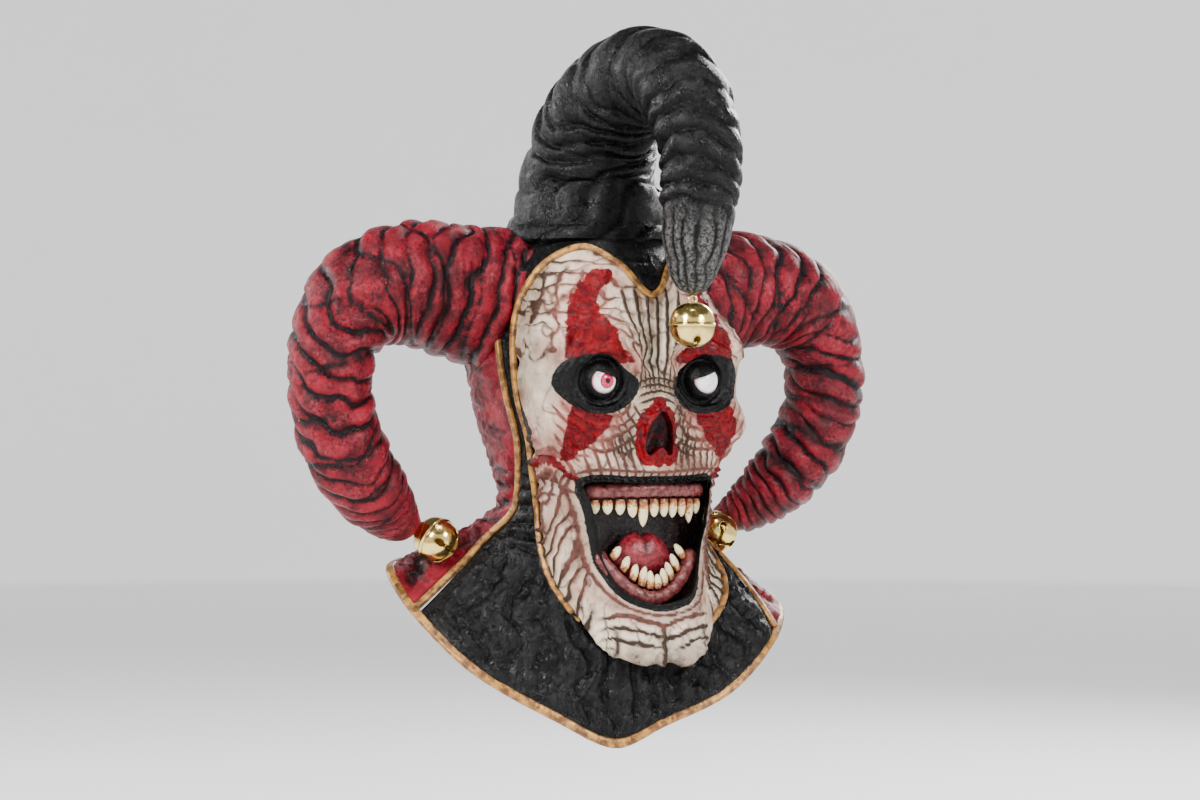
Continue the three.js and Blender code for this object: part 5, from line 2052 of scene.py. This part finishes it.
@dataclass
class Mouth:
    """Gums, teeth and tongue."""

    gum_finish: WetFinish
    tooth_finish: ToothFinish
    tongue_finish: WetFinish

    TOOTH_SEED, GUM_SEED, TONGUE_SEED = 61, 62, 63
    # share of a tooth's length, and its girth there
    GIRTH = ((0, 0.12, 0.45, 0.7, 0.86, 0.96, 1.0), (0.86, 0.95, 1.0, 0.82, 0.55, 0.26, 0.0))

    def places(self, jaw: Jaw) -> Array:
        """Where the teeth stand along the jaw."""
        n = len(jaw.sizes)
        return ((2 * (np.arange(n) + 0.5)) / n - 1) * ROW_SHARE

    def teeth(self, jaw: Jaw) -> Piece:
        """The pointed, uneven teeth of a jaw.

        Args:
            jaw: Which jaw.

        Returns:
            The piece.
        """
        bm = bmesh.new()
        bm.verts.layers.float.new("root")
        noise = Noise(self.TOOTH_SEED)
        for k, (s, size) in enumerate(zip(self.places(jaw), jaw.sizes)):
            made = bmesh.ops.create_grid(bm, x_segments=18, y_segments=14, size=0.5)["verts"]
            flat = np.array([v.co[:2] for v in made]) + 0.5
            a, t = 2 * np.pi * flat[:, 0], flat[:, 1]
            base, up = jaw.point(s), jaw.towards(s)
            across = unit(jaw.point(s + 0.01) - jaw.point(s - 0.01))
            out = unit(np.cross(up, across))
            long, wide = TOOTH_LENGTH * size, TOOTH_WIDTH * 1.14 * jaw.tooth_share
            girth = np.interp(t, *self.GIRTH)
            bend = 0.5 * math.sin(2.4 * k + 1.0)
            c, d = np.cos(a), np.sin(a)
            square = np.sign(c) * np.abs(c) ** 0.8
            points = (base + up * (TOOTH_LIFT + t * long)[:, None]
                      + across * (square * girth * wide / 2 + bend * t * t)[:, None]
                      + out * (d * girth * wide * 0.34)[:, None])
            points += 0.12 * unit(points - base) * noise.rough(points, 3.0, 2)[:, None]
            root = np.clip(1.2 - t * 1.35 - 0.3 * d * d, 0, 1)
            self.write(bm, made, points, "root", root)
        weld(bm, 2e-5)
        bmesh.ops.holes_fill(bm, edges=[e for e in bm.edges if e.is_boundary], sides=0)
        bmesh.ops.recalc_face_normals(bm, faces=bm.faces[:])
        nodes = tuple(f"tooth_{jaw.name}_{k + 1:02d}" for k in range(len(jaw.sizes)))
        return Piece(f"teeth_{jaw.name}", bm, self.tooth_finish.material(), "tooth", nodes)

    @staticmethod
    def write(bm: bmesh.types.BMesh, verts: Sequence[bmesh.types.BMVert], points: Array, name: str,
              paint: Array) -> None:
        """Writes places and a paint amount to some vertices.

        Args:
            bm: The mesh.
            verts: The vertices.
            points: Their places in mm.
            name: Name of the paint.
            paint: Its amount at each vertex.
        """
        layer = bm.verts.layers.float[name]
        for i, v in enumerate(verts):
            v.co = points[i] * MM
            v[layer] = paint[i]

    def gum(self, jaw: Jaw) -> Piece:
        """The fleshy gum, swollen round each tooth.

        Args:
            jaw: Which jaw.

        Returns:
            The piece.
        """
        bm = bmesh.new()
        bmesh.ops.create_grid(bm, x_segments=150, y_segments=22, size=0.5)
        flat = np.array([v.co[:2] for v in bm.verts]) + 0.5
        s, a = flat[:, 0] * 2 - 1, 2 * np.pi * flat[:, 1]
        up = jaw.towards(s)
        out = unit(np.stack([0.6 * s, -np.ones_like(s), 0 * s], -1))
        n = len(jaw.sizes)
        beat = folds((s / ROW_SHARE + 1) / 2 * n, 0.7)
        half_h, half_t = 5.2, 3.6
        c, d = np.cos(a), np.sin(a)
        top = np.clip(c, 0, 1)
        swell = 1.0 + 0.2 * (beat - 0.5) * (d > -0.2)
        ends = np.sqrt(np.clip((1 - np.abs(s)) / 0.05, 0.02, 1))
        centre = jaw.point(s) - up * GUM_DROP
        points = (centre + up * (c * half_h * ends + top * (0.9 * (1 - beat) - 0.3))[:, None]
                  + out * (np.sign(d) * np.abs(d) ** 0.8 * half_t * swell * ends - 0.4)[:, None])
        points += 0.25 * out * Noise(self.GUM_SEED).rough(points, 5.0, 2)[:, None]
        # Painted shade between the teeth and on the gum's side away from them.
        dark = 0.7 * (1 - beat) ** 2 * smoothstep(c, -0.2, 0.6) + 0.5 * smoothstep(-c, 0.3, 1.0)
        set_points(bm, points, {"cavity": np.clip(dark, 0, 1)})
        weld(bm, 2e-5)
        bmesh.ops.holes_fill(bm, edges=[e for e in bm.edges if e.is_boundary], sides=0)
        bmesh.ops.recalc_face_normals(bm, faces=bm.faces[:])
        return Piece(f"gum_bar_{jaw.name}", bm, self.gum_finish.material(), "gum", (f"gum_{jaw.name}",))

    def tongue(self) -> Piece:
        """The tongue, with a groove down its middle.

        Returns:
            The piece.
        """
        low, high = (np.array(c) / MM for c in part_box("tongue"))
        centre, half = (low + high) / 2, (high - low) / 2
        bm = bmesh.new()
        bmesh.ops.create_uvsphere(bm, u_segments=72, v_segments=40, radius=1.0)
        q = np.array([v.co[:] for v in bm.verts])
        x, y, z = q.T
        groove = np.exp(-((x / 0.13) ** 2)) * smoothstep(z, -0.2, 0.5)
        points = centre + q * half * np.array([1.0, 1.0, 0.98])
        points[:, 2] -= 3.0 * groove + 1.2 * x * x * half[2] * 0.2
        points[:, 2] += (0.35 * Noise(self.TONGUE_SEED).rough(points, 4.0, 3)) * smoothstep(z, -0.3, 0.2)
        # Painted shade in the middle groove and underneath.
        set_points(bm, points, {"cavity": 0.6 * groove + 0.3 * smoothstep(-z, 0.2, 0.8)})
        bmesh.ops.recalc_face_normals(bm, faces=bm.faces[:])
        return Piece("tongue_flesh", bm, self.tongue_finish.material(), "tongue", ("tongue",))


@dataclass
class Eye:
    """A glossy eyeball that looks ahead."""

    side: Side
    finish: EyeFinish
    aim: tuple[float, float, float] = (0.05, -1.0, -0.04)

    def build(self) -> Piece:
        """The ball, painted by the angle from where it looks.

        Returns:
            The piece.
        """
        node = f"eye_{self.side.name.lower()}"
        low, high = (np.array(c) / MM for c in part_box(node))
        centre = (low + high) / 2
        bm = bmesh.new()
        bmesh.ops.create_uvsphere(bm, u_segments=64, v_segments=48, radius=1.0)
        q = unit(np.array([v.co[:] for v in bm.verts]))
        off = np.arccos(np.clip(q @ unit(np.array(self.aim)), -1, 1))
        bulge = 1.0 + EYE_BULGE * (1 - smoothstep(off, 0.2, 0.5))
        points = centre + q * (EYE_RADIUS * EYE_SHARE * bulge)[:, None]
        set_points(bm, points, {"away": off})
        return Piece(f"eyeball_{self.side.name.lower()}", bm, self.finish.material(), "eye", (node,))


@dataclass(frozen=True)
class View:
    """The camera at the photograph's angle."""

    target: tuple[float, float, float] = (0.0065, -0.00375, -0.131)
    forward: tuple[float, float, float] = (0.5, 0.8660254, 0.0)
    distance: float = 2.2
    lens: float = 88.0
    sensor: float = 36.0

    def build(self) -> None:
        """Makes the camera."""
        data = bpy.data.cameras.new("view")
        data.lens = self.lens
        data.sensor_width = self.sensor
        camera = bpy.data.objects.new("view", data)
        forward = Vector(self.forward)
        camera.location = Vector(self.target) - forward * self.distance
        camera.rotation_euler = forward.to_track_quat("-Z", "Y").to_euler()
        bpy.context.scene.collection.objects.link(camera)
        bpy.context.scene.camera = camera


@dataclass
class Studio:
    """A pale floor that rises into a round backdrop, and soft lights."""

    floor: float = -0.62
    radius: float = 5.0
    wall: float = 3.6
    glow: float = 0.2
    sky: float = 0.14
    aim: tuple[float, float, float] = (0.0, -0.03, -0.12)
    lights: tuple[tuple[tuple[float, float, float], float, float], ...] = (
        ((-2.1, -0.8, 1.1), 0.75, 100.0), ((0.8, -2.3, 1.0), 0.75, 66.0), ((-0.2, -0.5, 2.1), 0.7, 34.0),
        ((1.9, 1.1, 0.9), 0.8, 52.0), ((-1.5, 1.9, 0.8), 0.8, 44.0),
    )

    def build(self) -> None:
        """Makes the floor, the world's light and the lamps."""
        bm = bmesh.new()
        bmesh.ops.create_grid(bm, x_segments=96, y_segments=60, size=0.5)
        for v in bm.verts:
            a, t = 2 * math.pi * (v.co.x + 0.5), v.co.y + 0.5
            r = self.radius * (0.02 + 0.98 * min(t / 0.55, 1.0))
            rise = max(0.0, t - 0.5) / 0.5
            v.co = (r * math.cos(a), r * math.sin(a), self.floor + self.wall * rise * rise)
        bmesh.ops.remove_doubles(bm, verts=bm.verts[:], dist=1e-5)
        hub = [e for e in bm.edges if e.is_boundary and e.calc_length() < 0.05]
        bmesh.ops.holes_fill(bm, edges=hub, sides=0)
        n = Nodes("studio_paper")
        paper = n.mix(n.noise(900.0, 3.0), (0.88, 0.88, 0.88), (0.92, 0.92, 0.92))
        stage = to_object("studio_floor", bm, n.finish(Base_Color=paper, Roughness=0.9, Emission_Color=paper,
                                                       Emission_Strength=self.glow))
        world = bpy.data.worlds.new("studio")
        world.use_nodes = True
        world.node_tree.nodes["Background"].inputs[0].default_value = (1.0, 1.0, 1.0, 1.0)
        world.node_tree.nodes["Background"].inputs[1].default_value = self.sky
        bpy.context.scene.world = world
        aim = Vector(self.aim)
        for k, (place, size, power) in enumerate(self.lights):
            data = bpy.data.lights.new(f"soft_{k}", "AREA")
            data.shape = "DISK"
            data.size, data.energy = size, power
            lamp = bpy.data.objects.new(f"soft_{k}", data)
            lamp.location = place
            lamp.rotation_euler = (aim - Vector(place)).to_track_quat("-Z", "Y").to_euler()
            bpy.context.scene.collection.objects.link(lamp)


CRIMSON = FoldedFinish("red_latex", (0.20, 0.004, 0.014), (0.06, 0.001, 0.004), (0.004, 0.0, 0.001),
                       (0.42, 0.07, 0.09), (0.24, 0.46), stipple=0.95, brushed_highlight_amount=0.5)
JET = FoldedFinish("black_latex", (0.0025, 0.0025, 0.003), (0.0045, 0.0045, 0.0045), (0.001, 0.001, 0.001),
                   (0.12, 0.117, 0.113), (0.16, 0.36), stipple=0.3, brushed_highlight_amount=0.14, grain=1.7,
                   shine=0.12)
GUM = WetFinish("gum", (0.17, 0.04, 0.036), (0.06, 0.006, 0.008), (0.02, 0.001, 0.002))
TONGUE = WetFinish("tongue", (0.22, 0.015, 0.025), (0.09, 0.003, 0.008), (0.015, 0.0, 0.001))
LINING = WetFinish("mouth_dark", (0.012, 0.003, 0.003), (0.004, 0.001, 0.001), (0.001, 0.0, 0.0))


def bell(name: str, horn: Horn, hang: Sequence[float], finish: BrassFinish) -> Bell:
    """A bell hanging from a horn's tip."""
    way = unit(np.array(hang, float))
    return Bell(name, horn.line[-1] + way * BELL_REACH, way, finish)


def main() -> None:
    """Builds the pieces, finishes the kept nodes and sets the studio."""
    logging.basicConfig(level=logging.INFO, format="%(message)s")
    trims, mouth, brass = Trims(GoldFinish()), Mouth(GUM, ToothFinish(), TONGUE), BrassFinish()
    right, left, top = side_horn(Side.RIGHT, CRIMSON), side_horn(Side.LEFT, CRIMSON), top_horn(JET)
    pieces = [
        FaceMask().build(),
        CowlHalf(Hood.FRONT, JET).build(), CowlHalf(Hood.BACK, CRIMSON).build(),
        trims.face(), trims.seam(Side.RIGHT), trims.seam(Side.LEFT), trims.hem(),
        right.build(), left.build(), top.build(),
        bell("right", right, (0.35, -0.82, -0.45), brass).build(),
        bell("left", left, (-0.35, -0.82, -0.45), brass).build(),
        bell("top", top, (0.0, 0.0, -1.0), brass).build(),
        Eye(Side.RIGHT, EyeFinish("eye_red", False)).build(),
        Eye(Side.LEFT, EyeFinish("eye_clouded", True)).build(),
        mouth.gum(UPPER), mouth.gum(LOWER), mouth.teeth(UPPER), mouth.teeth(LOWER), mouth.tongue(),
    ]
    for piece in pieces:
        piece.place()
    kept = {"mouth_lining": LINING.material()}
    kept.update({f"bell_ball_{name}": brass.material() for name in ("right", "left", "top")})
    for node, material in kept.items():
        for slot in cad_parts[node].material_slots:
            slot.material = material
    Studio().build()
    View().build()
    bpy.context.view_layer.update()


if __name__ == "__main__":
    main()
